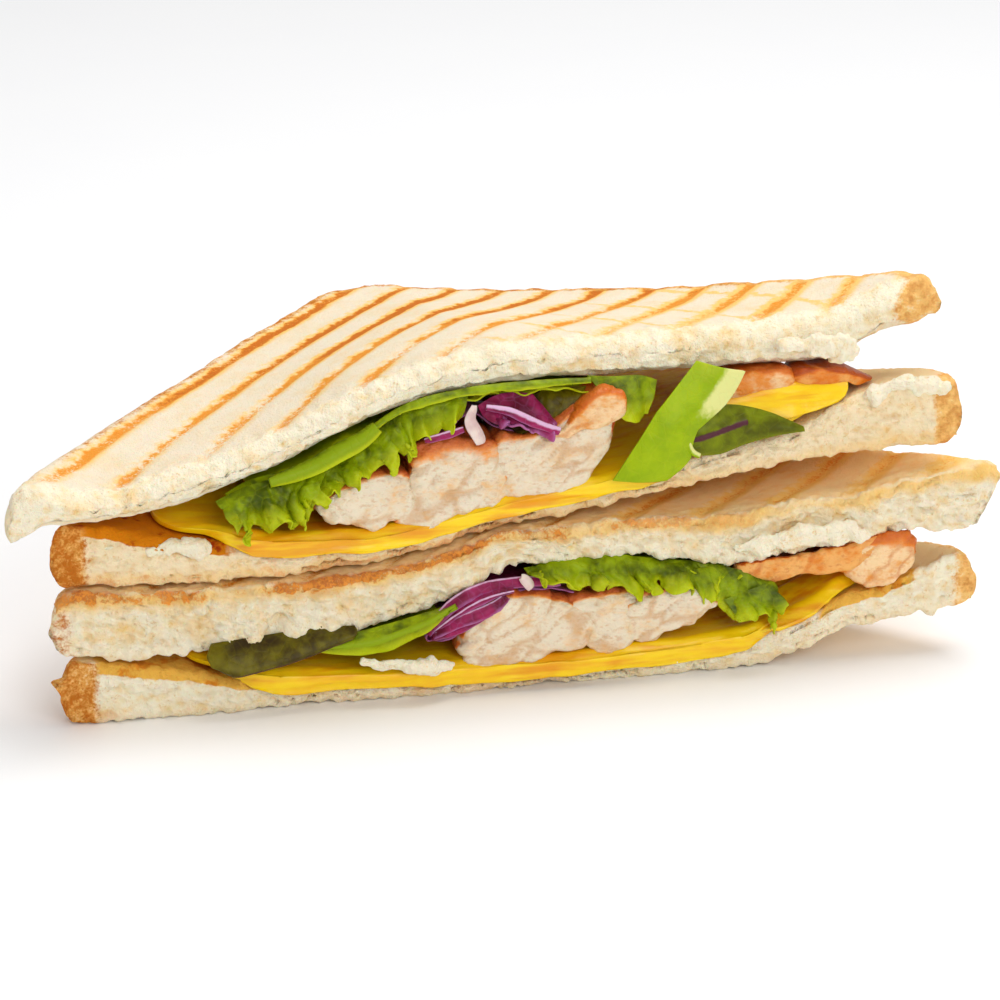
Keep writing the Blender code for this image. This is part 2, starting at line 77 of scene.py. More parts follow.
def paint(red: int, green: int, blue: int) -> Colour:
    """A colour from its three values on a screen, 0 to 255.

    Args:
        red: How much red.
        green: How much green.
        blue: How much blue.

    Returns:
        The same colour in linear light.
    """
    shares = (value / 255.0 for value in (red, green, blue))
    linear = [v / 12.92 if v <= 0.04045 else ((v + 0.055) / 1.055) ** 2.4 for v in shares]
    return (*linear, 1.0)


# Unevenness


@dataclass(frozen=True)
class Grain:
    """Repeatable unevenness in space, measured in millimetres."""

    seed: int

    def draw(self, cell: Array, salt: int) -> Array:
        """A value for each whole-numbered cell.

        Args:
            cell: The cells.
            salt: Which of several draws is wanted.

        Returns:
            A value from 0 to 1 for each cell.
        """
        mixed = cell[..., 0] * 73856093 ^ cell[..., 1] * 19349663 ^ cell[..., 2] * 83492791
        mixed = mixed ^ (self.seed * 265443576 + salt * 97531)
        mixed = (mixed ^ (mixed >> 13)) * 1274126177 & 0xFFFFFFFF
        mixed = (mixed ^ (mixed >> 16)) * 668265263 & 0xFFFFFFFF
        return (mixed ^ (mixed >> 15)) / 0xFFFFFFFF

    def cloud(self, points: Array, size: float | Triple, octaves: int = 3) -> Array:
        """Soft swells.

        Args:
            points: Where to read them.
            size: How far apart they are, one number or one for each axis.
            octaves: How many finer levels are added.

        Returns:
            A value around -1 to 1 for each point.
        """
        total, whole = np.zeros(len(points)), 0.0
        for octave in range(octaves):
            scaled = points / np.asarray(size) * 2.0**octave + 31.7 * octave
            cell = np.floor(scaled).astype(np.int64)
            share = scaled - cell
            share = share * share * (3.0 - 2.0 * share)
            value = np.zeros(len(points))
            for corner in itertools.product((0, 1), repeat=3):
                weight = np.prod(np.where(corner, share, 1.0 - share), axis=-1)
                value += weight * self.draw(cell + np.array(corner), octave)
            total += (2.0 * value - 1.0) * 0.5**octave
            whole += 0.5**octave
        return 1.5 * total / whole

    def cells(self, points: Array, size: float | Triple) -> tuple[Array, Array]:
        """Distances to the nearest and to the next of scattered seeds.

        Args:
            points: Where to read them.
            size: How far apart the seeds are.

        Returns:
            The two distances, as shares of that size.
        """
        scaled = points / np.asarray(size)
        home = np.floor(scaled).astype(np.int64)
        nearest = np.full(len(points), 9.0)
        second = np.full(len(points), 9.0)
        for step in itertools.product((-1, 0, 1), repeat=3):
            cell = home + np.array(step)
            seeds = cell + np.stack([self.draw(cell, salt) for salt in (11, 12, 13)], axis=-1)
            distance = np.linalg.norm(scaled - seeds, axis=-1)
            second = np.minimum(second, np.maximum(nearest, distance))
            nearest = np.minimum(nearest, distance)
        return nearest, second

    def pits(self, points: Array, size: float | Triple, reach: float) -> Array:
        """Round pores: 1 at a pore's middle and 0 outside it."""
        return smooth_step(1.0 - self.cells(points, size)[0] / reach)

    def line(self, places: Array, size: float, octaves: int = 3) -> Array:
        """Soft swells along a line."""
        zeros = np.zeros_like(places)
        flat = np.stack([places, zeros, zeros], axis=-1).reshape(-1, 3)
        return self.cloud(flat, size, octaves).reshape(places.shape)


# The layout


@dataclass(frozen=True)
class Profile:
    """One layer's thickness: along the cut, and along the crusts from left to back to right."""

    at_cut: tuple[float, ...]
    at_crust: Triple
    least: float = -9.0

    STATIONS = np.array((-80, -70, -55, -40, -20, 0, 20, 40, 50, 60, 70, 80), float)
    CUT_HALF = 79.88
    HALF_DIAGONAL = 84.85

    def along_cut(self, x: Array) -> Array:
        """The thickness at a place along the cut."""
        places, heights = self.STATIONS, np.array(self.at_cut, float)
        slopes = np.gradient(heights, places)
        x = np.clip(x, places[0], places[-1])
        i = np.clip(np.searchsorted(places, x) - 1, 0, len(places) - 2)
        span = places[i + 1] - places[i]
        t = (x - places[i]) / span
        rise = t * t * (3.0 - 2.0 * t)
        bend = t * (1.0 - t) ** 2 * span * slopes[i] - t * t * (1.0 - t) * span * slopes[i + 1]
        return heights[i] * (1.0 - rise) + heights[i + 1] * rise + bend

    def along_crust(self, x: Array) -> Array:
        """The thickness at a place along the crusts."""
        left, back, right = self.at_crust
        share = np.clip(np.abs(x) / self.CUT_HALF, 0.0, 1.0) ** 1.3
        return back + (np.where(x < 0.0, left, right) - back) * share

    def __call__(self, x: Array, y: Array) -> Array:
        """The thickness over any place of the plan."""
        leg = self.HALF_DIAGONAL - np.minimum(np.abs(x), self.CUT_HALF)
        share = smooth_step((y + 2.0) / (leg + 2.0))
        value = self.along_cut(x) * (1.0 - share) + self.along_crust(x) * share
        return np.maximum(value, self.least)


class Stack:
    """The heights above the plate of every layer's faces."""

    lift = Profile((0, 0, 0, 0, 0, 0, 0, 0.3, 1.6, 5.4, 6.8, 7.8), (0.0, 0.0, 7.8), 0.0)
    base = Profile((11.2, 10.6, 8.2, 4.8, 3.4, 3.2, 3.3, 4.4, 5.2, 6.2, 7.2, 10.0), (10.6, 9.5, 10.0))
    lower_filling = Profile(
        (0.7, 0.8, 2.5, 6.6, 10.2, 15.8, 18.8, 14.2, 11.7, 8.3, 8.4, 3.2), (1.0, 4.8, 4.0), 0.4
    )
    lid = Profile((11.3, 11.5, 11.2, 10.5, 9.3, 7.7, 6.1, 9.0, 10.4, 9.3, 8.8, 11.8), (10.4, 9.4, 11.8))
    between = Profile((0.6, 0.6, 0.9, 0.6, 0.6, 1.0, 2.2, 5.9, 6.3, 6.6, 5.0, 3.0), (0.6, 0.6, 3.0), 0.4)
    upper_base = Profile((11.0, 10.7, 7.6, 5.4, 3.6, 3.2, 3.3, 4.7, 5.2, 9.4, 12.0, 12.1), (10.0, 9.4, 12.1))
    upper_filling = Profile(
        (0.6, 1.0, 6.2, 12.9, 21.8, 21.4, 18.2, 13.0, 10.8, 5.8, 8.4, 8.6), (1.0, 5.0, 8.0)
    )
    top = Profile((9.4, 5.6, 6.1, 5.8, 5.8, 6.8, 7.1, 7.5, 8.0, 8.6, 6.6, 8.8), (8.6, 9.1, 9.0))
    ORDER = (lift, base, lower_filling, lid, between, upper_base, upper_filling, top)

    @classmethod
    def surface(cls, count: int, droop: bool = False) -> Surface:
        """The height of the first layers together.

        Args:
            count: How many layers lie below the surface, the lift of the corner among them.
            droop: Whether its left end hangs past the slice below.

        Returns:
            A function that gives the height at any place of the plan.
        """

        def height(x: Array, y: Array) -> Array:
            """The surface's height at each place."""
            total = sum(layer(x, y) for layer in cls.ORDER[:count])
            return total - 3.2 * smooth_step((-75.5 - x) / 8.0) if droop else total

        return height


@dataclass(frozen=True)
class SlicePlan:
    """How a slice lies in plan: its turn in degrees, its shift, and its size."""

    turn: float
    shift_x: float
    shift_y: float
    size: float

    def place(self, u: Array, v: Array) -> tuple[Array, Array]:
        """Moves a slice's own plan points to where the slice lies."""
        cosine, sine = math.cos(math.radians(self.turn)), math.sin(math.radians(self.turn))
        x = self.size * (u * cosine - v * sine) + self.shift_x
        y = self.size * (u * sine + v * cosine) + self.shift_y
        return x, y

    def cut_line(self, x: Array) -> Array:
        """Where the cut face stands in Y at a place along the cut."""
        return self.shift_y + math.tan(math.radians(self.turn)) * (x - self.shift_x)


BASE_PLAN = SlicePlan(-1.1, 4.2, -2.4, 0.972)
LID_PLAN = SlicePlan(-1.1, 3.9, -2.5, 0.985)
UPPER_BASE_PLAN = SlicePlan(0.0, 2.6, 0.0, 0.966)
TOP_PLAN = SlicePlan(3.5, -2.5, 0.0, 1.0)


def smooth_curve(points: Array, count: int, closed: bool = False) -> Array:
    """A smooth curve through places.

    Args:
        points: The places.
        count: How many points the curve gets.
        closed: Whether it runs back to its start.

    Returns:
        The curve's points.
    """
    given = np.array(points, float)
    last = len(given) if closed else len(given) - 1
    shares = np.linspace(0.0, last, count, endpoint=not closed)
    k = np.minimum(shares.astype(int), last - 1)
    t = (shares - k)[:, None]
    if closed:
        a, b, c, d = (given[(k + step) % len(given)] for step in (-1, 0, 1, 2))
    else:
        a, b, c, d = (given[np.clip(k + step, 0, last)] for step in (-1, 0, 1, 2))
    curve = 2.0 * b + (c - a) * t + (2.0 * a - 5.0 * b + 4.0 * c - d) * t**2
    return 0.5 * (curve + (3.0 * b - a - 3.0 * c + d) * t**3)


def smooth_patch(rows: Array) -> Patch:
    """A smooth surface through rows of places.

    Args:
        rows: The places, rows from a leaf's root to its hem, each from left to right.

    Returns:
        A function that gives the surface's point for each share along and across it.
    """
    given = np.array(rows, float)
    dense = np.stack([smooth_curve(row, PATCH_COLUMNS) for row in given])
    dense = np.stack([smooth_curve(dense[:, k], PATCH_ROWS) for k in range(PATCH_COLUMNS)], axis=1)
    last_row, last_column = PATCH_ROWS - 1, PATCH_COLUMNS - 1

    def surface(along: Array, across: Array) -> tuple[Array, Array, Array]:
        """The surface's point at each share."""
        i, j = np.clip(across, 0.0, 1.0) * last_row, np.clip(along, 0.0, 1.0) * last_column
        a, b = np.minimum(i.astype(int), last_row - 1), np.minimum(j.astype(int), last_column - 1)
        s, t = (i - a)[..., None], (j - b)[..., None]
        low = dense[a, b] * (1.0 - t) + dense[a, b + 1] * t
        high = dense[a + 1, b] * (1.0 - t) + dense[a + 1, b + 1] * t
        point = low * (1.0 - s) + high * s
        return point[..., 0], point[..., 1], point[..., 2]

    return surface


def ribbon_patch(line: Array, width: float, tilt: float = 0.5) -> Patch:
    """A narrow strip along a line of places, its ends drawn in.

    Args:
        line: Places along the strip's middle.
        width: Its width in millimetres.
        tilt: How far its lower edge leans to the front.

    Returns:
        A function that gives the strip's point for each share along and across it.
    """
    middle = smooth_curve(line, PATCH_COLUMNS)
    heading = np.gradient(middle, axis=0)
    lean = -tilt * np.linalg.norm(heading, axis=1)
    side = np.stack([heading[:, 2], lean, -heading[:, 0]], axis=-1)
    side /= np.linalg.norm(side, axis=1, keepdims=True)
    narrow = (np.sin(math.pi * np.linspace(0.03, 0.97, PATCH_COLUMNS)) ** 0.45)[:, None] * width
    rows = [middle + side * narrow * share for share in (-0.5, -0.17, 0.17, 0.5)]
    rows = [row - np.array([0.0, bow, 0.0]) for row, bow in zip(rows, (0.0, 0.3, 0.3, 0.0))]
    return smooth_patch(np.stack(rows)[:, ::6])


# Meshes


def normals_of(points: Array, faces: Array) -> Array:
    """The direction out of the surface at every point."""
    corners = points[faces]
    across = np.cross(corners[:, 1] - corners[:, 0], corners[:, 2] - corners[:, 0])
    total = np.zeros_like(points)
    for corner in range(3):
        np.add.at(total, faces[:, corner], across)
    return total / np.maximum(np.linalg.norm(total, axis=1, keepdims=True), 1e-12)


@dataclass
class Form:
    """A shape under way: its points in millimetres, its triangles and what the finish reads at each point."""

    points: Array
    faces: Array
    marks: dict[str, Array] = field(default_factory=dict)

    def normals(self) -> Array:
        """The direction out of the surface at every point."""
        return normals_of(self.points, self.faces)

    def __add__(self, other: "Form") -> "Form":
        """Both shapes as one, with the marks that both have."""
        shift = len(self.points)
        marks = {name: np.concatenate([self.marks[name], other.marks[name]]) for name in self.marks}
        points = np.concatenate([self.points, other.points])
        return Form(points, np.concatenate([self.faces, other.faces + shift]), marks)

    def mesh(self, name: str) -> bpy.types.Mesh:
        """Makes the mesh in the part's frame."""
        mesh = bpy.data.meshes.new(name)
        mesh.from_pydata(((self.points + ORIGIN) * MM).tolist(), [], self.faces.tolist())
        for mark, values in self.marks.items():
            kind = "FLOAT_VECTOR" if values.ndim == 2 else "FLOAT"
            layer = mesh.attributes.new(mark, kind, "POINT")
            key = "vector" if values.ndim == 2 else "value"
            layer.data.foreach_set(key, values.astype(np.float32).ravel())
        mesh.shade_smooth()
        return mesh

    def remeshed(self, voxel: float) -> "Form":
        """The same shape with even small faces.

        Args:
            voxel: The size of a face, in millimetres.

        Returns:
            A new form with no marks.
        """
        rough = bpy.data.objects.new("rough", self.mesh("rough"))
        bpy.context.scene.collection.objects.link(rough)
        modifier = rough.modifiers.new("even", "REMESH")
        modifier.mode = "VOXEL"
        modifier.voxel_size = voxel * MM
        modifier = rough.modifiers.new("soft", "SMOOTH")
        modifier.iterations = 3
        modifier = rough.modifiers.new("split", "TRIANGULATE")
        shown = rough.evaluated_get(bpy.context.evaluated_depsgraph_get()).data
        points = np.zeros(len(shown.vertices) * 3)
        shown.vertices.foreach_get("co", points)
        faces = np.zeros(len(shown.polygons) * 3, np.int64)
        shown.polygons.foreach_get("vertices", faces)
        bpy.data.objects.remove(rough)
        return Form(points.reshape(-1, 3) / MM - ORIGIN, faces.reshape(-1, 3))


def wall_between(loops: list[Array]) -> list[Array]:
    """Joins loops of points, each with as many points as the next.

    Args:
        loops: The numbers of each loop's points, from the top loop to the lowest.

    Returns:
        The triangles between them.
    """
    faces = []
    for high, low in zip(loops, loops[1:]):
        after, below = np.roll(high, -1), np.roll(low, -1)
        faces += [np.stack([high, low, below], -1), np.stack([high, below, after], -1)]
    return faces


def closed_grid(upper: Array, lower: Array, wall_rows: int = 0) -> tuple[Array, Array]:
    """A solid between two grids of points.

    Args:
        upper: The points of one face, rows by columns.
        lower: The points of the other face.
        wall_rows: How many rows of points stand between the two edges.

    Returns:
        The points and the triangles.
    """
    rows, columns = upper.shape[:2]
    index = np.arange(rows * columns).reshape(rows, columns)
    a, b, c, d = index[:-1, :-1], index[:-1, 1:], index[1:, 1:], index[1:, :-1]
    one = np.stack([a, b, c], -1).reshape(-1, 3)
    two = np.stack([a, c, d], -1).reshape(-1, 3)
    shift = rows * columns
    faces = [one, two, one[:, ::-1] + shift, two[:, ::-1] + shift]
    rim = np.concatenate([index[0], index[1:, -1], index[-1, -2::-1], index[-2:0:-1, 0]])
    points = [upper.reshape(-1, 3), lower.reshape(-1, 3)]
    loops, count = [rim], 2 * shift
    for row in range(1, wall_rows + 1):
        share = row / (wall_rows + 1)
        points.append(points[0][rim] * (1.0 - share) + points[1][rim] * share)
        loops.append(np.arange(count, count + len(rim)))
        count += len(rim)
    loops.append(rim + shift)
    return np.concatenate(points), np.concatenate(faces + wall_between(loops))


def place_piece(
    name: str, form: Form, finish: Material, node: str | None
) -> bpy.types.Object:
    """Puts a finished piece into the scene.

    Args:
        name: The piece's name.
        form: Its shape.
        finish: Its material.
        node: The solid that it stands for, if any.

    Returns:
        The new object.
    """
    piece = bpy.data.objects.new(name, form.mesh(name))
    piece.data.materials.append(finish)
    bpy.context.scene.collection.objects.link(piece)
    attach(piece, BODY)
    if node:
        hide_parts(node)
    log.info("%s: %d triangles", name, len(form.faces))
    return piece


# Shader maths


class Signal:
    """A shader socket's value that takes part in sums."""

    def __init__(self, sheet: "Sheet", socket: bpy.types.NodeSocket) -> None:
        """Wraps one output socket."""
        self.sheet = sheet
        self.socket = socket

    def _math(self, operation: str, first: "Value", second: "Value") -> "Signal":
        """Adds one Math node."""
        return self.sheet.node("ShaderNodeMath", {"operation": operation}, {0: first, 1: second})

    def __add__(self, other: "Value") -> "Signal":
        """Sum."""
        return self._math("ADD", self, other)

    def __radd__(self, other: "Value") -> "Signal":
        """Sum, the other way round."""
        return self._math("ADD", other, self)

    def __sub__(self, other: "Value") -> "Signal":
        """Difference."""
        return self._math("SUBTRACT", self, other)

    def __rsub__(self, other: "Value") -> "Signal":
        """Difference, the other way round."""
        return self._math("SUBTRACT", other, self)

    def __mul__(self, other: "Value") -> "Signal":
        """Product."""
        return self._math("MULTIPLY", self, other)

    def __rmul__(self, other: "Value") -> "Signal":
        """Product, the other way round."""
        return self._math("MULTIPLY", other, self)

    def larger(self, other: "Value") -> "Signal":
        """The larger of two."""
        return self._math("MAXIMUM", self, other)

    def zigzag(self, reach: float) -> "Signal":
        """Runs up and down between 0 and the reach."""
        return self._math("PINGPONG", self, reach)

    def step(self, low: float, high: float) -> "Signal":
        """Eases from 0 at one value to 1 at the other, which may be the smaller."""
        settings = {"interpolation_type": "SMOOTHSTEP"}
        sockets = {"Value": self, "From Min": min(low, high), "From Max": max(low, high)}
        eased = self.sheet.node("ShaderNodeMapRange", settings, sockets)
        return eased if low < high else 1.0 - eased


Value = Signal | float


class Sheet:
    """One material under way: adds nodes and joins them."""

    def __init__(self, name: str) -> None:
        """Starts a material with only its shader and output."""
        self.material = bpy.data.materials.new(name)
        self.material.use_nodes = True
        self.tree = self.material.node_tree
        self.shader = self.tree.nodes["Principled BSDF"]
        metres = self.node("ShaderNodeTexCoord", {}, {}, "Object")
        self.place = self.node("ShaderNodeVectorMath", {"operation": "SCALE"}, {0: metres, "Scale": 1.0 / MM})

    def node(self, kind: str, settings: dict, sockets: dict, output: str | int = 0) -> Signal:
        """Adds a node.

        Args:
            kind: Blender's name of the node's type.
            settings: The node's own settings, such as a Math node's operation, which are set first.
            sockets: The values or links of its inputs, by name or place.
            output: Which output is wanted.

        Returns:
            That output.
        """
        made = self.tree.nodes.new(kind)
        for key, value in settings.items():
            setattr(made, key, value)
        for key, value in sockets.items():
            self.feed(made.inputs[key], value)
        return Signal(self, made.outputs[output])

    def feed(self, socket: bpy.types.NodeSocket, value: "Value | Colour") -> None:
        """Links a signal to a socket, or sets the socket's own value."""
        if isinstance(value, Signal):
            self.tree.links.new(value.socket, socket)
        else:
            socket.default_value = value

    def mark(self, name: str) -> Signal:
        """What the mesh says at each point under a name."""
        return self.node("ShaderNodeAttribute", {"attribute_name": name}, {}, "Fac")

    def marks(self, name: str) -> tuple[Signal, Signal, Signal]:
        """Three values that the mesh says at each point under a name."""
        vector = self.node("ShaderNodeAttribute", {"attribute_name": name}, {}, "Vector")
        split = self.node("ShaderNodeSeparateXYZ", {}, {0: vector}).socket.node
        return tuple(Signal(self, socket) for socket in split.outputs)

    def noise(
        self, size: float, detail: float = 2.0, stretch: Triple | None = None
    ) -> Signal:
        """Soft unevenness of a size in millimetres, around 0.5."""
        place = self.place
        if stretch:
            place = self.node("ShaderNodeVectorMath", {"operation": "MULTIPLY"}, {0: place, 1: stretch})
        sockets = {"Vector": place, "Scale": 1.0 / size, "Detail": detail, "Roughness": 0.55}
        return self.node("ShaderNodeTexNoise", {}, sockets, "Fac")

    def mix(self, share: Value, first: "Signal | Colour", second: "Signal | Colour") -> Signal:
        """One colour that turns into another as the share goes from 0 to 1."""
        settings = {"data_type": "RGBA", "clamp_factor": True}
        return self.node("ShaderNodeMix", settings, {0: share, 6: first, 7: second}, 2)

    def bump(self, height: Signal, distance: float, below: Signal | None = None) -> Signal:
        """Fine relief of a depth in millimetres."""
        sockets = {"Height": height, "Distance": distance * MM, "Strength": 1.0}
        if below:
            sockets["Normal"] = below
        return self.node("ShaderNodeBump", {}, sockets)

    def finish(
        self, colour: Signal, normal: Signal, roughness: Value, **constants: float
    ) -> Material:
        """Feeds the shader.

        Args:
            colour: Its base colour.
            normal: Its relief.
            roughness: Its roughness.
            **constants: Values for other sockets, by name with _ for spaces.

        Returns:
            The finished material.
        """
        self.feed(self.shader.inputs["Base Color"], colour)
        self.feed(self.shader.inputs["Normal"], normal)
        self.feed(self.shader.inputs["Roughness"], roughness)
        for name, value in constants.items():
            self.shader.inputs[name.replace("_", " ").title().replace("Ior", "IOR")].default_value = value
        return self.material


# Bread


class ToastedFace(Enum):
    """Which face of a slice lay on the grill."""

    UPPER = "upper"
    LOWER = "lower"


@dataclass(frozen=True)
class BreadFinish:
    """Toast bread: pale griddled face, orange-brown grill marks, brown crust and white torn crumb with
    painted shade in its pores.
    """

    name: str
    face: Colour = paint(240, 225, 198)
    face_warm: Colour = paint(239, 211, 164)
    inner: Colour = paint(244, 226, 188)
    crumb: Colour = paint(251, 240, 213)
    # The crumb's shade and pore colours are painted shade in its pores.
    crumb_shade: Colour = paint(243, 217, 162)
    pore: Colour = paint(226, 186, 116)
    mark_halo: Colour = paint(250, 200, 104)
    mark_core: Colour = paint(232, 142, 38)
    mark_dark: Colour = paint(192, 94, 24)
    crust: Colour = paint(242, 182, 96)
    crust_dark: Colour = paint(196, 112, 32)
    crust_pale: Colour = paint(255, 206, 126)
    stain: Colour = paint(244, 198, 108)
    # Melted cheese spilt on the bread: its darker orange and red-brown are partly painted shade, as the upper
    # spill lies under the top slice.
    melt: Colour = paint(216, 128, 10)
    melt_dark: Colour = paint(166, 58, 4)
    stain_share: float = 0.3
    mark_share: float = 1.0
    line_share: float = 0.0
    net_share: float = 0.0
    toasting: float = 0.0

    def material(self) -> Material:
        """Makes the material."""
        sheet = Sheet(self.name)
        across, along, griddled = sheet.marks("grill")
        crust, cut, skin = sheet.mark("crust"), sheet.mark("cut"), sheet.mark("skin")
        pore, spill = sheet.mark("pore"), sheet.mark("spill")
        fine, small = sheet.noise(0.42, 3.0), sheet.noise(1.4, 3.0)
        broad, patch = sheet.noise(6.0, 2.0), sheet.noise(15.0, 1.5)

        warm = (broad * 0.7 + small * 0.4 + patch * 0.3).step(0.55, 1.05)
        face = sheet.mix(warm * 0.8, self.face, self.face_warm)
        colour = sheet.mix(griddled.step(0.1, 0.6), self.inner, face)
        colour = sheet.mix(self.toasting * griddled, colour, self.mark_halo)
        colour = self.grilled(sheet, colour, across, along, griddled, (fine, small, broad, patch))

        # Painted shade: the crumb darkens where the pore mark shows a cavity, and in random patches.
        deep = (small * 0.6 + pore * 0.7 + broad * 0.35).step(0.5, 1.25)
        crumb = sheet.mix(deep, self.crumb, self.crumb_shade)
        stains = (sheet.noise(4.6, 3.0) + small * 0.25).step(0.92 - self.stain_share, 0.98)
        crumb = sheet.mix(stains * 0.7, crumb, self.stain)
        # Painted shade: small darker, yellower spots stand for shaded open pores.
        pore_shadow_spots = (fine * 0.8 + small * 0.5 - broad * 0.2).step(0.64, 0.76)
        crumb = sheet.mix(pore_shadow_spots * 0.55, crumb, self.pore)
        torn = (cut * 1.2 + (small - 0.5) * 1.0 + (fine - 0.5) * 0.4).step(0.3, 0.62)
        colour = sheet.mix(torn, colour, crumb)

        seen = across.step(106.0, 62.0) * self.line_share
        uneven = (small - 0.5) * 2.6 + (broad - 0.5) * 3.4 + (patch - 0.5) * 5.0
        depth = skin + uneven + (1.0 - seen) * 0.9
        warmed = depth.step(3.2, 0.4) * cut.step(0.25, 0.8) * self.line_share * 0.9
        colour = sheet.mix(warmed, colour, self.mark_halo)
        seared = sheet.mix((fine + small).step(0.85, 1.15), self.mark_core, self.mark_dark)
        edge = (depth + (fine - 0.5) * 1.8).step(0.9, 0.1)
        colour = sheet.mix(edge * cut.step(0.15, 0.55) * seen, colour, seared)
        # Spilt melted cheese, its colours partly painted shade.
        melted = sheet.mix((broad + (small - 0.5) * 0.5).step(0.56, 0.7), self.melt, self.melt_dark)
        run = (spill + (small - 0.5) * 0.7 + (broad - 0.5) * 0.5).step(0.22, 0.6)
        colour = sheet.mix(run, colour, melted)

        baked = (small * 0.7 + fine * 0.5 + broad * 0.4).step(0.62, 0.95)
        brown = sheet.mix(baked, self.crust, self.crust_dark)
        brown = sheet.mix(across.step(60.0, 96.0) * (1.25 - small * 1.3), brown, self.crust_pale)
        ragged = crust + (small - 0.5) * 1.1 + (fine - 0.5) * 0.7 + (broad - 0.5) * 0.6
        colour = sheet.mix(ragged.step(0.3, 0.95), colour, brown)

        relief = sheet.bump(small * 0.5 + fine * (0.5 + cut * 0.7), 0.36)
        relief = sheet.bump(sheet.noise(0.2, 2.0), 0.1, relief)
        return sheet.finish(
            colour, relief, 0.8, specular_ior_level=0.1, subsurface_weight=0.2, subsurface_scale=0.0012
        )

    def grilled(
        self,
        sheet: Sheet,
        colour: Signal,
        across: Signal,
        along: Signal,
        griddled: Signal,
        noises: tuple[Signal, ...],
    ) -> Signal:
        """Adds the marks of the grill's bars, ragged and broken towards the cut.

        Args:
            sheet: The material under way.
            colour: The face's colour.
            across: The distance from the slice's left crust.
            along: The distance from its right crust.
            griddled: Where the face lay on the grill.
            noises: Unevenness from the finest to the broadest.

        Returns:
            The colour with the marks on it.
        """
        fine, small, broad, patch = noises
        behind = Profile.HALF_DIAGONAL - (across + along) * math.sqrt(0.5)
        firm = (behind + (broad - 0.5) * 30.0).step(4.0, 44.0)
        right = across.step(58.0, 80.0)
        wander = across + (broad - 0.5) * 1.8 + (small - 0.5) * 1.6
        distance = (wander - FIRST_BAR).zigzag(BAR_SPACING / 2.0) + (fine - 0.5) * 2.0
        weight = griddled * (firm * 0.5 + patch * 1.2 + small * 0.9 - 0.5) * self.mark_share
        halo = distance.step(3.7, 0.4) * (weight + right * 0.45 * griddled)
        core = distance.step(2.1, 0.2) * weight
        slanted = along - across * 0.25 + (broad - 0.5) * 4.0 + (small - 0.5) * 2.0
        crossed = griddled * across.step(48.0, 62.0) * (patch + broad * 0.5).step(0.45, 0.7)
        thin = slanted.zigzag(6.5).step(1.5, 0.1) * crossed * self.net_share
        glow = (halo.larger(thin * 0.8) + (fine - 0.5) * 0.7 + (small - 0.5) * 0.3).step(0.15, 0.9)
        colour = sheet.mix(glow * 0.9, colour, self.mark_halo)
        colour = sheet.mix((core + (fine - 0.5) * 1.5).step(0.32, 0.75) * 0.9, colour, self.mark_core)
        return sheet.mix((core * firm + (fine - 0.5) * 1.6).step(0.5, 1.0) * 0.75, colour, self.mark_dark)


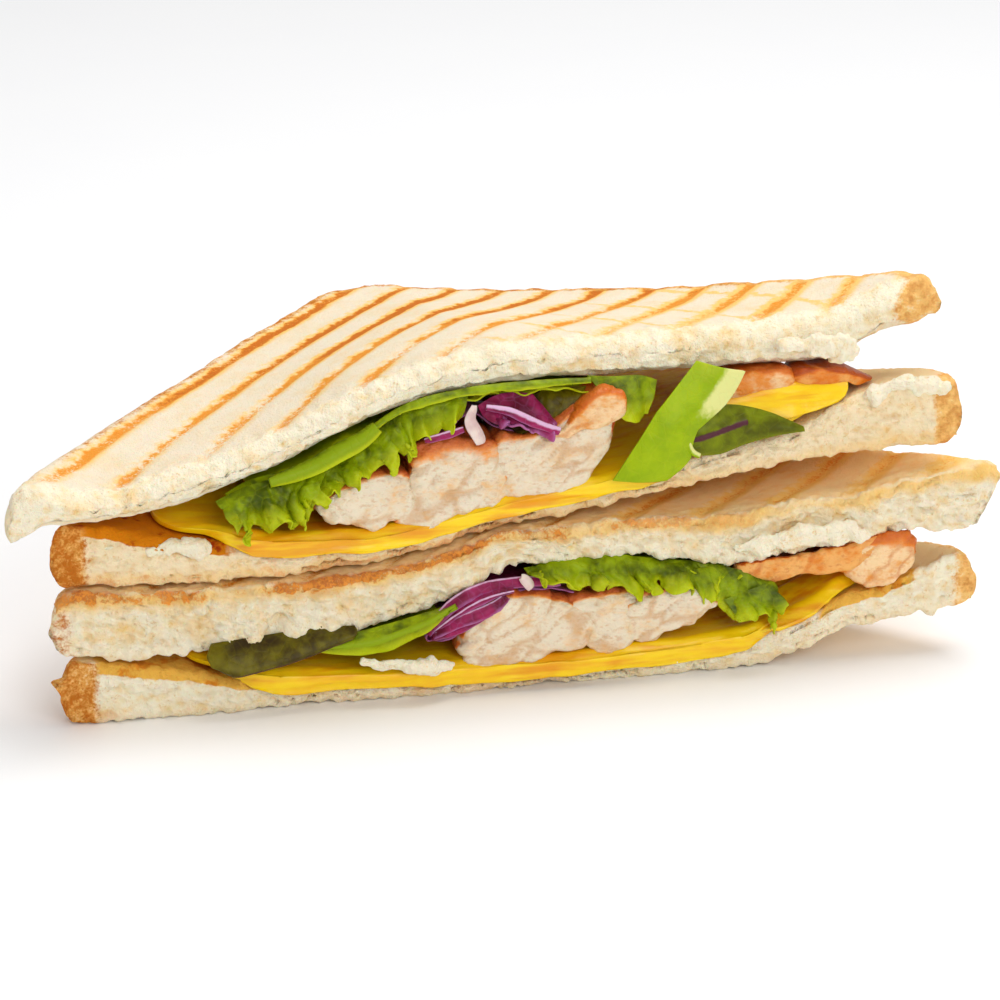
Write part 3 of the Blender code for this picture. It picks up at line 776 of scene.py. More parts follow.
@dataclass
class BreadSlice:
    """Half a slice of toast bread, cut corner to corner and torn a little along its cut."""

    name: str
    plan: SlicePlan
    under: Surface
    over: Surface
    finish: BreadFinish
    toasted: ToastedFace
    seed: int
    spacing: float = 1.5
    mark_shift: float = 0.0
    crust_ends: Triple = (1.0, 1.0, 1.0)
    spills: tuple[Triple, ...] = ()
    spill_strength: float = 1.0
    pulls: tuple[tuple[Triple, float, Triple], ...] = ()
    roughness: float = 1.0
    corner_radius: float = 12.0
    edge_round: float = 1.8
    cut_round: float = 1.3
    crust_bulge: float = 0.9
    crust_width: float = 1.5
    crust_wrap: Pair = (0.0, 0.0)
    last_row: float = 79.5
    fine: float = 0.38
    wall_rows: int = 20

    def half_width(self, depth: float) -> float:
        """Half the slice's width at a depth behind its cut."""
        half_diagonal, radius = Profile.HALF_DIAGONAL, self.corner_radius
        centre, reach = half_diagonal - radius * math.sqrt(2.0), radius / math.sqrt(2.0)
        if depth < reach:
            return centre + math.sqrt(radius**2 - depth**2)
        if depth > half_diagonal - reach:
            return math.sqrt(max(radius**2 - (depth - centre) ** 2, 0.0))
        return half_diagonal - depth

    def rows(self) -> list[tuple[float, Array]]:
        """Rows of points over the plan, close together at the cut and wider apart behind it."""
        depth, step, made = 0.0, self.fine, []
        while depth < self.last_row:
            width = self.half_width(depth)
            count = max(int(2.0 * width / max(step, self.fine)) + 1, 7)
            made.append((depth, np.linspace(-width, width, count)))
            if depth > 5.0:
                step = min(step * 1.09, self.spacing)
            depth += step
        made.append((self.last_row, np.linspace(-1.0, 1.0, 9) * self.half_width(self.last_row)))
        return made

    @staticmethod
    def zipped(front: Array, back: Array, start: int, after: int) -> list[tuple[int, int, int]]:
        """Fills the strip between two rows that hold different numbers of points.

        Args:
            front: The places along the row in front.
            back: The places along the row behind it.
            start: The number of the front row's first point.
            after: The number of the other row's first point.

        Returns:
            The triangles.
        """
        i, j, made = 0, 0, []
        while i < len(front) - 1 or j < len(back) - 1:
            ahead = front[i + 1] if i < len(front) - 1 else math.inf
            behind = back[j + 1] if j < len(back) - 1 else math.inf
            if ahead <= behind:
                made.append((start + i, start + i + 1, after + j))
                i += 1
            else:
                made.append((start + i, after + j + 1, after + j))
                j += 1
        return made

    def form(self) -> Form:
        """The slice before it is torn and toasted, with the marks that the finish reads."""
        rows = self.rows()
        starts = np.cumsum([0] + [len(row) for _, row in rows])
        u = np.concatenate([row for _, row in rows])
        v = np.concatenate([np.full(len(row), depth) for depth, row in rows])
        width = np.concatenate([np.full(len(row), row[-1]) for _, row in rows])
        pairs = [(rows[k][1], rows[k + 1][1], starts[k], starts[k + 1]) for k in range(len(rows) - 1)]
        face = np.array([triangle for pair in pairs for triangle in self.zipped(*pair)])
        inset = np.minimum((width - np.abs(u)) * math.sqrt(0.5), Profile.CUT_HALF - v)
        rounding = sum(
            radius - np.sqrt(radius**2 - np.clip(radius - gap, 0.0, radius) ** 2)
            for radius, gap in ((self.edge_round, inset), (self.cut_round, v))
        )
        x, y = self.plan.place(u, v)
        high, low = self.over(x, y), self.under(x, y)
        rounding = np.minimum(rounding, (high - low) * 0.42)
        upper = np.stack([x, y, high - rounding], axis=-1)
        lower = np.stack([x, y, low + np.minimum(rounding, 1.6)], axis=-1)
        total = len(u)
        rim = list(range(starts[1]))
        rim += [starts[k + 1] - 1 for k in range(1, len(rows))]
        rim += list(range(starts[-1] - 2, starts[-2] - 1, -1))
        rim += [starts[k] for k in range(len(rows) - 2, 0, -1)]
        rim = np.array(rim)
        on_cut = (v[rim] == 0.0) & (inset[rim] > 0.05)
        centre = upper.mean(axis=0)
        outward = (upper[rim] - centre) * (1.0, 1.0, 0.0)
        outward /= np.linalg.norm(outward, axis=1, keepdims=True)
        outward[on_cut] = 0.0
        points, loops, shares = [upper, lower], [rim], [np.zeros(total), np.ones(total)]
        count = 2 * total
        for row in range(1, self.wall_rows + 1):
            share = row / (self.wall_rows + 1)
            bulge = outward * self.crust_bulge * math.sin(math.pi * share)
            points.append(upper[rim] * (1.0 - share) + lower[rim] * share + bulge)
            shares.append(np.full(len(rim), share))
            loops.append(np.arange(count, count + len(rim)))
            count += len(rim)
        loops.append(rim + total)
        faces = [face, face[:, ::-1] + total] + wall_between(loops)

        def over_all(values: Array) -> Array:
            """One value for each point of both faces and the wall."""
            return np.concatenate([values, values] + [values[rim]] * self.wall_rows)

        form = Form(np.concatenate(points), np.concatenate(faces))
        self.mark(form, *map(over_all, (u, v, inset, high - low)), np.concatenate(shares))
        return form

    def mark(self, form: Form, u: Array, v: Array, inset: Array, height: Array, share: Array) -> None:
        """Notes where the crust, the cut, the grilled face and spilt cheese are.

        Args:
            form: The slice, which gets the marks.
            u: The place of each point along the cut.
            v: Its distance behind the cut.
            inset: Its distance from the crust's outside.
            height: How thick the slice is there.
            share: How far down the slice's side it lies, from 0 to 1.
        """
        wall = (share > 0.0) & (share < 1.0)
        skin = share if self.toasted is ToastedFace.UPPER else 1.0 - share
        half_diagonal = Profile.HALF_DIAGONAL
        from_left = (half_diagonal + u - v) / math.sqrt(2.0) + self.mark_shift
        from_right = (half_diagonal - u - v) / math.sqrt(2.0)
        on_face = smooth_step((v + 1.0) / 5.0) * smooth_step(1.0 - skin * height / 1.2)
        form.marks["grill"] = np.stack([from_left, from_right, on_face], axis=-1)
        form.marks["skin"] = skin * height
        cut_wall = wall & (inset > 0.05) & (v == 0.0)
        form.marks["cut"] = np.where(cut_wall, 1.0, np.where(wall, 0.0, np.exp(-v / self.cut_round)))
        side_wall = wall & ~cut_wall
        wrap = np.where(u < 0.0, *self.crust_wrap) * smooth_step(1.0 - v / 3.0)
        crust = np.where(side_wall, 1.0, smooth_step((self.crust_width + wrap + 1.2 - inset) / 2.4))
        form.marks["crust"] = crust * np.interp(u, (-80.0, -62.0, 0.0, 70.0, 80.0), self.crust_strengths())
        form.marks["near_cut"] = np.exp(-v / 5.0) * np.where(side_wall, 0.3, 1.0)
        spill = np.zeros_like(u)
        top_share = smooth_step(1.0 - (1.0 - skin) * height / 1.3)
        for start, end, reach in self.spills:
            inside = smooth_step((u - start) / 4.0) * smooth_step((end - u) / 12.0)
            spill = np.maximum(spill, inside * smooth_step((reach - v) / 6.0) * top_share)
        form.marks["spill"] = spill * self.spill_strength

    def crust_strengths(self) -> tuple[float, ...]:
        """How brown the crust is, from the left end to the right one."""
        left, back, right = self.crust_ends
        return left, 0.5 * (left + back), back, 0.5 * (back + right), right

    def tear(self, form: Form) -> None:
        """Gives the cut its torn crumb, the faces their bumps and the crust its wrinkles."""
        grain, points, normals = Grain(self.seed), form.points, form.normals()
        cut, near, crust = form.marks["cut"], form.marks["near_cut"], form.marks["crust"]
        soft = 1.0 - 0.7 * np.clip(crust, 0.0, 1.0)
        large = grain.pits(points, (3.6, 2.4, 1.9), 0.6)
        small = grain.pits(points + 50.0, (1.3, 1.0, 0.9), 0.7)
        puffs = np.abs(grain.cloud(points + 9.0, (2.8, 2.4, 2.0), 3))
        swell = 0.8 * grain.cloud(points, (9.0, 6.0, 4.0), 3) + 0.9 * puffs - 0.25
        torn = cut * soft * self.roughness * (swell - 0.25 * large - 0.25 * small)
        frayed = 0.34 * grain.cloud(points + 21.0, 2.4, 3) + 0.3 * puffs - 0.2 * small
        ragged = near * soft * self.roughness * frayed
        crinkle = crust * (0.24 * grain.cloud(points + 33.0, 2.0, 4) - 0.14 * small)
        face = (1.0 - cut) * (0.2 * grain.cloud(points + 70.0, 14.0, 2) + 0.03 * grain.cloud(points, 1.4, 2))
        moved = points + normals * (torn + ragged + crinkle + face)[:, None]
        edge = np.exp(-form.marks["skin"].clip(0.0, None) / 2.0)
        jagged = grain.cloud(points + 90.0, (3.0, 3.0, 30.0), 3)
        jagged += 0.6 * grain.cloud(points + 60.0, (1.2, 3.0, 9.0), 2)
        moved[:, 2] += cut * soft * 0.4 * jagged * (0.4 + edge)
        moved[:, 2] -= self.pressed(form)
        for at, reach, push in self.pulls:
            away = np.linalg.norm((points - np.array(at)) / (1.0, 1.6, 1.0), axis=1)
            nearness = np.clip(1.0 - away / reach, 0.0, 1.0)
            moved += np.outer(smooth_step(nearness), np.array(push))
        moved[:, 2] = np.maximum(moved[:, 2], LEAST_HEIGHT)
        form.points = moved
        # How deep each point lies in a pore, which the finish paints as shade.
        form.marks["pore"] = np.clip(cut * (large * 0.6 + small * 0.5), 0.0, 1.0)

    def pressed(self, form: Form) -> Array:
        """How deep the grill's bars pressed into the toasted face."""
        across, _, griddled = form.marks["grill"].T
        half = BAR_SPACING / 2.0
        distance = np.abs((across - FIRST_BAR + half) % BAR_SPACING - half)
        dent = 0.3 * smooth_step(1.0 - distance / 2.2) * griddled
        return dent if self.toasted is ToastedFace.UPPER else -dent

    def build(self) -> bpy.types.Object:
        """Makes the slice and puts it in place of its solid."""
        form = self.form()
        self.tear(form)
        del form.marks["near_cut"]
        name = self.name.replace("_bread", "_toast")
        return place_piece(name, form, self.finish.material(), self.name)


def all_crumb(form: Form, pores: Array) -> Form:
    """Notes that a shape is crumb all over.

    Args:
        form: The shape.
        pores: How deep in a pore each point lies, which the finish paints as shade.

    Returns:
        The same shape with the marks that the bread's finish reads.
    """
    total = len(form.points)
    form.marks = {name: np.zeros(total) for name in ("crust", "spill")}
    form.marks |= {"cut": np.ones(total), "skin": np.full(total, 9.0), "pore": pores}
    form.marks["grill"] = np.zeros((total, 3))
    return form


@dataclass(frozen=True)
class TornLump:
    """A clump of torn crumb: soft lobes that run together."""

    lobes: tuple[tuple[float, float, float, float, float, float], ...]

    def form(self, seed: int) -> Form:
        """The clump.

        Args:
            seed: Which unevenness it gets.

        Returns:
            Its shape. A lobe holds its middle's place and its reach along X, Y and Z.
        """
        rings, spokes = 13, 24
        steps = np.linspace(0.0, math.pi, rings)
        turns = np.linspace(0.0, 2.0 * math.pi, spokes + 1)[:-1]
        points, faces, count = [], [], 0
        for x, y, z, reach_x, reach_y, reach_z in self.lobes:
            rise, turn = np.meshgrid(steps, turns, indexing="ij")
            ball = np.stack([np.sin(rise) * np.cos(turn), np.sin(rise) * np.sin(turn), np.cos(rise)], -1)
            points.append((ball * (reach_x, reach_y, reach_z) + (x, y, z)).reshape(-1, 3))
            index = np.arange(rings * spokes).reshape(rings, spokes) + count
            a, b = index[:-1], index[1:]
            c, d = np.roll(b, -1, axis=1), np.roll(a, -1, axis=1)
            faces += [np.stack([a, b, c], -1).reshape(-1, 3), np.stack([a, c, d], -1).reshape(-1, 3)]
            count += rings * spokes
        form = Form(np.concatenate(points), np.concatenate(faces)).remeshed(0.32)
        grain, normals = Grain(seed), form.normals()
        puffs = np.abs(grain.cloud(form.points, 1.9, 3))
        holes = grain.pits(form.points, 1.1, 0.7)
        uneven = 1.0 * grain.cloud(form.points, 3.4, 3) + 0.5 * puffs - 0.3 * holes - 0.1
        form.points = form.points + normals * uneven[:, None]
        form.points[:, 2] = np.maximum(form.points[:, 2], LEAST_HEIGHT)
        return all_crumb(form, holes * 0.5)


@dataclass
class Bread:
    """The four slices, from the plate upwards, and the clumps torn from their cut edges."""

    slices: tuple[BreadSlice, ...] = (
        BreadSlice(
            "base_bread", BASE_PLAN, Stack.surface(1), Stack.surface(2),
            BreadFinish(
                "base toast", inner=paint(236, 206, 156), toasting=0.5, line_share=0.2,
                melt=paint(240, 184, 78), melt_dark=paint(222, 140, 40),
            ),
            ToastedFace.LOWER, 1, mark_shift=3.1, spill_strength=0.8,
            spills=((-77.0, -40.0, 30.0), (50.0, 76.0, 12.0)), crust_wrap=(2.4, 0.8),
            pulls=(((-74.4, -1.0, 7.2), 1.7, (-2.6, -0.4, 1.4)),),
        ),
        BreadSlice(
            "lid_bread", LID_PLAN, Stack.surface(3), Stack.surface(4),
            BreadFinish(
                "lid toast", face=paint(254, 222, 166), face_warm=paint(250, 190, 108),
                # The lid's face colours are its toast, painted lighter as painted bounce light in the shade
                # of the slices above.
                mark_core=paint(234, 142, 38), stain_share=0.42, mark_share=0.8, line_share=0.85,
            ),
            ToastedFace.UPPER, 2, mark_shift=1.7, crust_ends=(0.55, 0.9, 0.12), roughness=1.35,
            crust_wrap=(0.4, 0.0),
            pulls=(
                ((81.6, -4.0, 31.4), 8.0, (3.8, -0.4, 0.6)),
                ((53.0, -3.0, 18.8), 13.0, (0.0, 0.2, 1.8)),
                ((-38.0, -2.5, 14.0), 3.4, (0.4, 2.4, 2.0)),
                ((1.5, -2.4, 19.2), 12.0, (0.0, 0.3, 2.4)),
                ((-77.0, -3.5, 17.0), 3.0, (-2.2, 0.0, -0.6)),
            ),
        ),
        BreadSlice(
            "upper_base_bread", UPPER_BASE_PLAN, Stack.surface(5), Stack.surface(6),
            BreadFinish(
                "upper base toast", inner=paint(236, 206, 156), crumb=paint(250, 230, 192),
                crumb_shade=paint(232, 196, 140), toasting=0.5, line_share=0.45,
            ),
            ToastedFace.LOWER, 3, mark_shift=6.0, spills=((-79.0, -44.0, 30.0),), roughness=0.75,
            crust_wrap=(2.4, 1.6),
        ),
        BreadSlice(
            "top_bread", TOP_PLAN, Stack.surface(7, True), Stack.surface(8, True),
            BreadFinish("top toast", stain_share=0.36, net_share=1.0), ToastedFace.UPPER, 4, spacing=0.95,
            crust_ends=(0.12, 1.0, 1.0), cut_round=4.2, crust_wrap=(0.0, 2.6), roughness=0.5, crust_width=2.8,
        ),
    )
    lumps: tuple[TornLump, ...] = (
        TornLump((
            (50.5, -0.4, 55.9, 3.0, 1.5, 1.7), (55.0, -0.6, 55.4, 3.2, 1.5, 2.2),
            (58.8, -0.6, 55.0, 2.2, 1.4, 2.4), (60.6, -0.6, 53.8, 0.9, 0.9, 1.6),
        )),
        TornLump((
            (43.5, -4.2, 22.4, 4.6, 0.9, 1.5), (50.0, -4.6, 23.2, 5.4, 1.1, 2.1),
            (56.5, -4.9, 23.6, 4.8, 1.1, 1.9), (60.0, -5.4, 23.0, 2.6, 0.7, 0.9),
        )),
        TornLump((
            (-23.6, -4.9, 8.2, 2.0, 1.0, 0.9), (-20.2, -5.1, 7.4, 3.2, 1.2, 1.3),
            (-15.4, -5.1, 6.8, 3.6, 1.2, 1.2), (-11.6, -4.9, 6.2, 2.6, 1.0, 0.8),
        )),
        TornLump((
            (65.4, -0.2, 46.2, 2.6, 1.4, 1.4), (69.6, -0.4, 47.4, 3.8, 1.5, 1.7),
            (73.6, -0.3, 46.8, 3.4, 1.4, 2.0), (76.6, -0.2, 46.4, 2.0, 1.2, 1.3),
        )),
        TornLump((
            (-65.0, 0.1, 30.0, 2.6, 0.8, 0.9), (-56.5, -0.1, 29.2, 3.4, 0.9, 1.4),
            (-51.6, -0.2, 28.8, 3.0, 0.9, 1.7),
        )),
    )

    def build(self) -> None:
        """Makes every slice and the clumps."""
        for one in self.slices:
            one.build()
        clumps = self.lumps[0].form(50)
        for number, lump in enumerate(self.lumps[1:]):
            clumps = clumps + lump.form(51 + number)
        finish = BreadFinish("torn crumb", stain_share=0.28).material()
        place_piece("torn_crumb", clumps, finish, None)


# Cheese


UPPER_CHEESE_SPAN = (-57.0, 60.0)
LOWER_CHEESE_SPAN = (-53.0, 57.0)


@dataclass(frozen=True)
class CheeseFinish:
    """Melted yellow cheese: soft, a little glossy, with fine lines along it."""

    bright: Colour = paint(252, 212, 10)
    deep: Colour = paint(240, 172, 2)
    orange: Colour = paint(230, 144, 4)

    def material(self) -> Material:
        """Makes the material."""
        sheet = Sheet("melted cheese")
        lines = sheet.noise(1.3, 2.0, (0.1, 0.6, 1.0))
        broad, patch = sheet.noise(7.0, 2.0), sheet.noise(20.0, 2.0)
        colour = sheet.mix((broad * 0.5 + lines * 0.6).step(0.4, 0.8), self.bright, self.deep)
        colour = sheet.mix((patch + (lines - 0.5) * 0.7).step(0.5, 0.75) * 0.7, colour, self.orange)
        relief = sheet.bump(lines * 0.7 + sheet.noise(0.8, 2.0) * 0.3, 0.25)
        return sheet.finish(
            colour, relief, 0.34, specular_ior_level=0.35, subsurface_weight=0.1, subsurface_scale=0.0015,
            coat_weight=0.1, coat_roughness=0.18,
        )


@dataclass(frozen=True)
class CheeseSheet:
    """A slice of cheese, melted over the bread under it and over the cut."""

    name: str
    plan: SlicePlan
    bed: Surface
    span: Pair
    lip: Pair
    seed: int
    thickness: float = 2.2
    end_thickness: float = 1.2
    gap: float = 0.7
    droop: float = 1.5
    columns: int = 240
    rows: int = 26

    def form(self) -> Form:
        """The sheet, with its soft front lip."""
        grain = Grain(self.seed)
        along = np.linspace(*self.span, self.columns)
        shares = np.linspace(0.0, 1.0, self.rows) ** 2.2
        hangs = smooth_step((along - self.lip[0]) / 9.0) * smooth_step((self.lip[1] - along) / 9.0)
        inset = np.minimum(along - self.span[0], self.span[1] - along)
        rounding = 5.0 - np.sqrt(np.maximum(25.0 - np.clip(5.0 - inset, 0.0, 5.0) ** 2, 0.0))
        front = 1.8 - hangs * 3.7 + 0.55 * grain.line(along, 7.0, 3) + rounding
        reach = np.maximum((Profile.HALF_DIAGONAL - np.abs(along)) * self.plan.size - 5.0 - front, 6.0)
        x = np.repeat(along[None, :], self.rows, axis=0)
        depth = shares[:, None] * reach[None, :]
        y = self.plan.cut_line(x) + front[None, :] + depth
        inside = np.minimum(x - self.span[0], self.span[1] - x)
        thick = self.end_thickness + (self.thickness - self.end_thickness) * smooth_step(inside / 14.0)
        over = np.clip(-0.3 - (y - self.plan.cut_line(x)), 0.0, None)
        low = self.bed(x, y) + self.gap - 0.25 * over
        high = low + thick
        rolled = smooth_step(1.0 - depth / 1.4)
        sag = self.droop * hangs[None, :] * rolled * (1.0 + 0.35 * grain.line(along, 9.0, 2)[None, :])
        swell = 0.25 * grain.cloud(np.stack([x, y, high], -1).reshape(-1, 3), 11.0, 2).reshape(x.shape)
        upper = np.stack([x, y, high - 0.3 * rolled * thick + swell * (1.0 - rolled)], axis=-1)
        lower = np.stack([x, y + 0.25 * rolled, low + 0.1 * rolled * thick - sag], axis=-1)
        return Form(*closed_grid(upper, lower, 9))

    def build(self, finish: Material) -> bpy.types.Object:
        """Makes the sheet and puts it in place of its solid."""
        form = self.form()
        grain, normals = Grain(self.seed + 1), form.normals()
        front = smooth_step(1.0 - (form.points[:, 1] - self.plan.cut_line(form.points[:, 0])) / 3.0)
        layered = grain.cloud(form.points, (26.0, 4.0, 0.9), 2) * 0.3
        layered += grain.cloud(form.points, 3.5, 2) * 0.16
        form.points = form.points + normals * (front * layered)[:, None]
        return place_piece(self.name + "_melted", form, finish, self.name)


@dataclass(frozen=True)
class Cheese:
    """The two slices of cheese, and a corner of each that stands out of its slice."""

    lower: CheeseSheet = CheeseSheet(
        "cheese_lower", BASE_PLAN, Stack.surface(2), LOWER_CHEESE_SPAN, (-50.0, 50.0), 21
    )
    upper: CheeseSheet = CheeseSheet(
        "cheese_upper", UPPER_BASE_PLAN, Stack.surface(6), UPPER_CHEESE_SPAN, (-50.0, 36.0), 22
    )
    corner_thickness: float = 1.3
    upper_corner: tuple[tuple[Triple, ...], ...] = (
        ((38, 8, 46), (46, 8, 48), (52, 8, 49), (61, 8, 48.4)),
        ((38.4, 3.4, 45.6), (46.4, 3.4, 47.2), (52, 3.4, 48), (61, 3.4, 47.6)),
        ((38.8, 0.6, 43.4), (46.6, 0.6, 44.8), (52, 0.8, 45.4), (60.4, 1.4, 46)),
        ((39, -0.3, 41.4), (46.8, -0.5, 42.6), (52, -0.5, 43.4), (58.6, 0.4, 45)),
    )

    @staticmethod
    def lower_corner(along: Array, across: Array) -> tuple[Array, Array, Array]:
        """The right corner of the lower slice, which reaches over the cut's edge.

        Args:
            along: The share from the left to the right.
            across: The share from the root to the hem.

        Returns:
            The corner's point at each share.
        """
        x = 43.0 + 22.0 * along
        hem = 0.4 + 5.0 * smooth_step((along - 0.45) / 0.55)
        y = BASE_PLAN.cut_line(x) + 9.0 - (10.6 - hem) * across
        above = 2.6 - 1.7 * smooth_step((across - 0.72) / 0.28) - 0.9 * along**2
        return x, y, Stack.surface(2)(x, y) + above

    def build(self) -> None:
        """Makes both slices and the two corners."""
        finish = CheeseFinish().material()
        self.lower.build(finish)
        self.upper.build(finish)
        thick = self.corner_thickness
        folded = Blade(smooth_patch(self.upper_corner), 81, 30, 0.35, 5.0, ragged=0.05, thickness=thick)
        place_piece("cheese_upper_corner", folded.form(23), finish, None)
        draped = Blade(self.lower_corner, 81, 30, 0.4, 6.0, ragged=0.05, thickness=thick)
        place_piece("cheese_lower_corner", draped.form(26), finish, None)


# Chicken


@dataclass(frozen=True)
class FillingRoom:
    """The room between the cheese and the bread above it, which every filling follows backwards."""

    plan: SlicePlan
    bread_top: Surface
    cheese_span: Pair
    above: Surface
    gap: float = 0.4

    def bed(self, x: Array, y: Array) -> Array:
        """The height that a filling rests at."""
        inside = np.minimum(x - self.cheese_span[0], self.cheese_span[1] - x)
        thick = 1.2 + smooth_step(inside / 14.0)
        covered = smooth_step((self.cheese_span[1] + 3.0 - x) / 2.5)
        return self.bread_top(x, y) + 0.7 + (thick + self.gap) * covered

    def roof(self, x: Array, y: Array) -> Array:
        """The height that a filling reaches at most."""
        return self.above(x, y) - self.gap

    def front(self, x: Array) -> Array:
        """Where the cut stands in Y."""
        return self.plan.cut_line(x)

    def follow(self, x: Array, depth: Array, height: Array) -> tuple[Array, Array]:
        """Moves a place back into the room, where it keeps its share of the room's height.

        Args:
            x: Where it lies along the cut.
            depth: How far behind the cut it goes.
            height: Its height at the cut.

        Returns:
            Where it lies in Y, and its height there.
        """
        start, y = self.front(x), self.front(x) + depth
        floor, room = self.bed(x, start), self.roof(x, start) - self.bed(x, start)
        share = (height - floor) / room
        return y, self.bed(x, y) + share * (self.roof(x, y) - self.bed(x, y))


UPPER_ROOM = FillingRoom(UPPER_BASE_PLAN, Stack.surface(6), UPPER_CHEESE_SPAN, Stack.surface(7))
LOWER_ROOM = FillingRoom(BASE_PLAN, Stack.surface(2), LOWER_CHEESE_SPAN, Stack.surface(3))


@dataclass(frozen=True)
class ChickenFinish:
    """Cooked breast: white fibrous meat with an orange-brown roasted skin."""

    name: str = "cooked chicken"
    meat: Colour = paint(234, 219, 192)
    meat_warm: Colour = paint(234, 194, 142)
    meat_shade: Colour = paint(204, 150, 94)
    roasted: Colour = paint(240, 140, 32)
    charred: Colour = paint(194, 78, 10)

    def material(self) -> Material:
        """Makes the material."""
        sheet = Sheet(self.name)
        brown, crease = sheet.mark("browned"), sheet.mark("crease")
        fibre, fine = sheet.noise(1.3, 3.0, (1.0, 0.35, 1.8)), sheet.noise(0.4, 2.0)
        broad = sheet.noise(4.0, 2.0)
        warm = (broad + (fibre - 0.5) * 0.6 + brown * 0.25).step(0.46, 0.8)
        colour = sheet.mix(warm, self.meat, self.meat_warm)
        colour = sheet.mix((crease + (fine - 0.5) * 0.4).step(0.25, 1.2) * 0.6, colour, self.meat_shade)
        colour = sheet.mix(fibre.step(0.48, 0.3) * 0.45, colour, self.meat_shade)
        singed = (brown + (broad - 0.5) * 0.6 + (fine - 0.5) * 0.3).step(0.5, 1.1)
        edge = sheet.mix(singed, self.roasted, self.charred)
        share = (brown + (broad - 0.5) * 0.8 + (fibre - 0.5) * 0.7).step(0.12, 0.8)
        colour = sheet.mix(share * 0.92, colour, edge)
        relief = sheet.bump(fibre * 0.8 + fine * 0.3, 0.5)
        return sheet.finish(
            colour, relief, 0.4, specular_ior_level=0.3, subsurface_weight=0.14, subsurface_scale=0.0015,
            coat_weight=0.06, coat_roughness=0.3,
        )


COOKED = ChickenFinish()
GOLDEN = ChickenFinish(
    "golden chicken", paint(244, 208, 158), paint(230, 158, 74), paint(206, 118, 40), paint(228, 126, 22),
    paint(204, 96, 18),
)
ROASTED = ChickenFinish(
    "roasted chicken", paint(240, 176, 96), paint(228, 134, 30), paint(196, 90, 8), paint(216, 108, 4),
    paint(164, 62, 4),
)


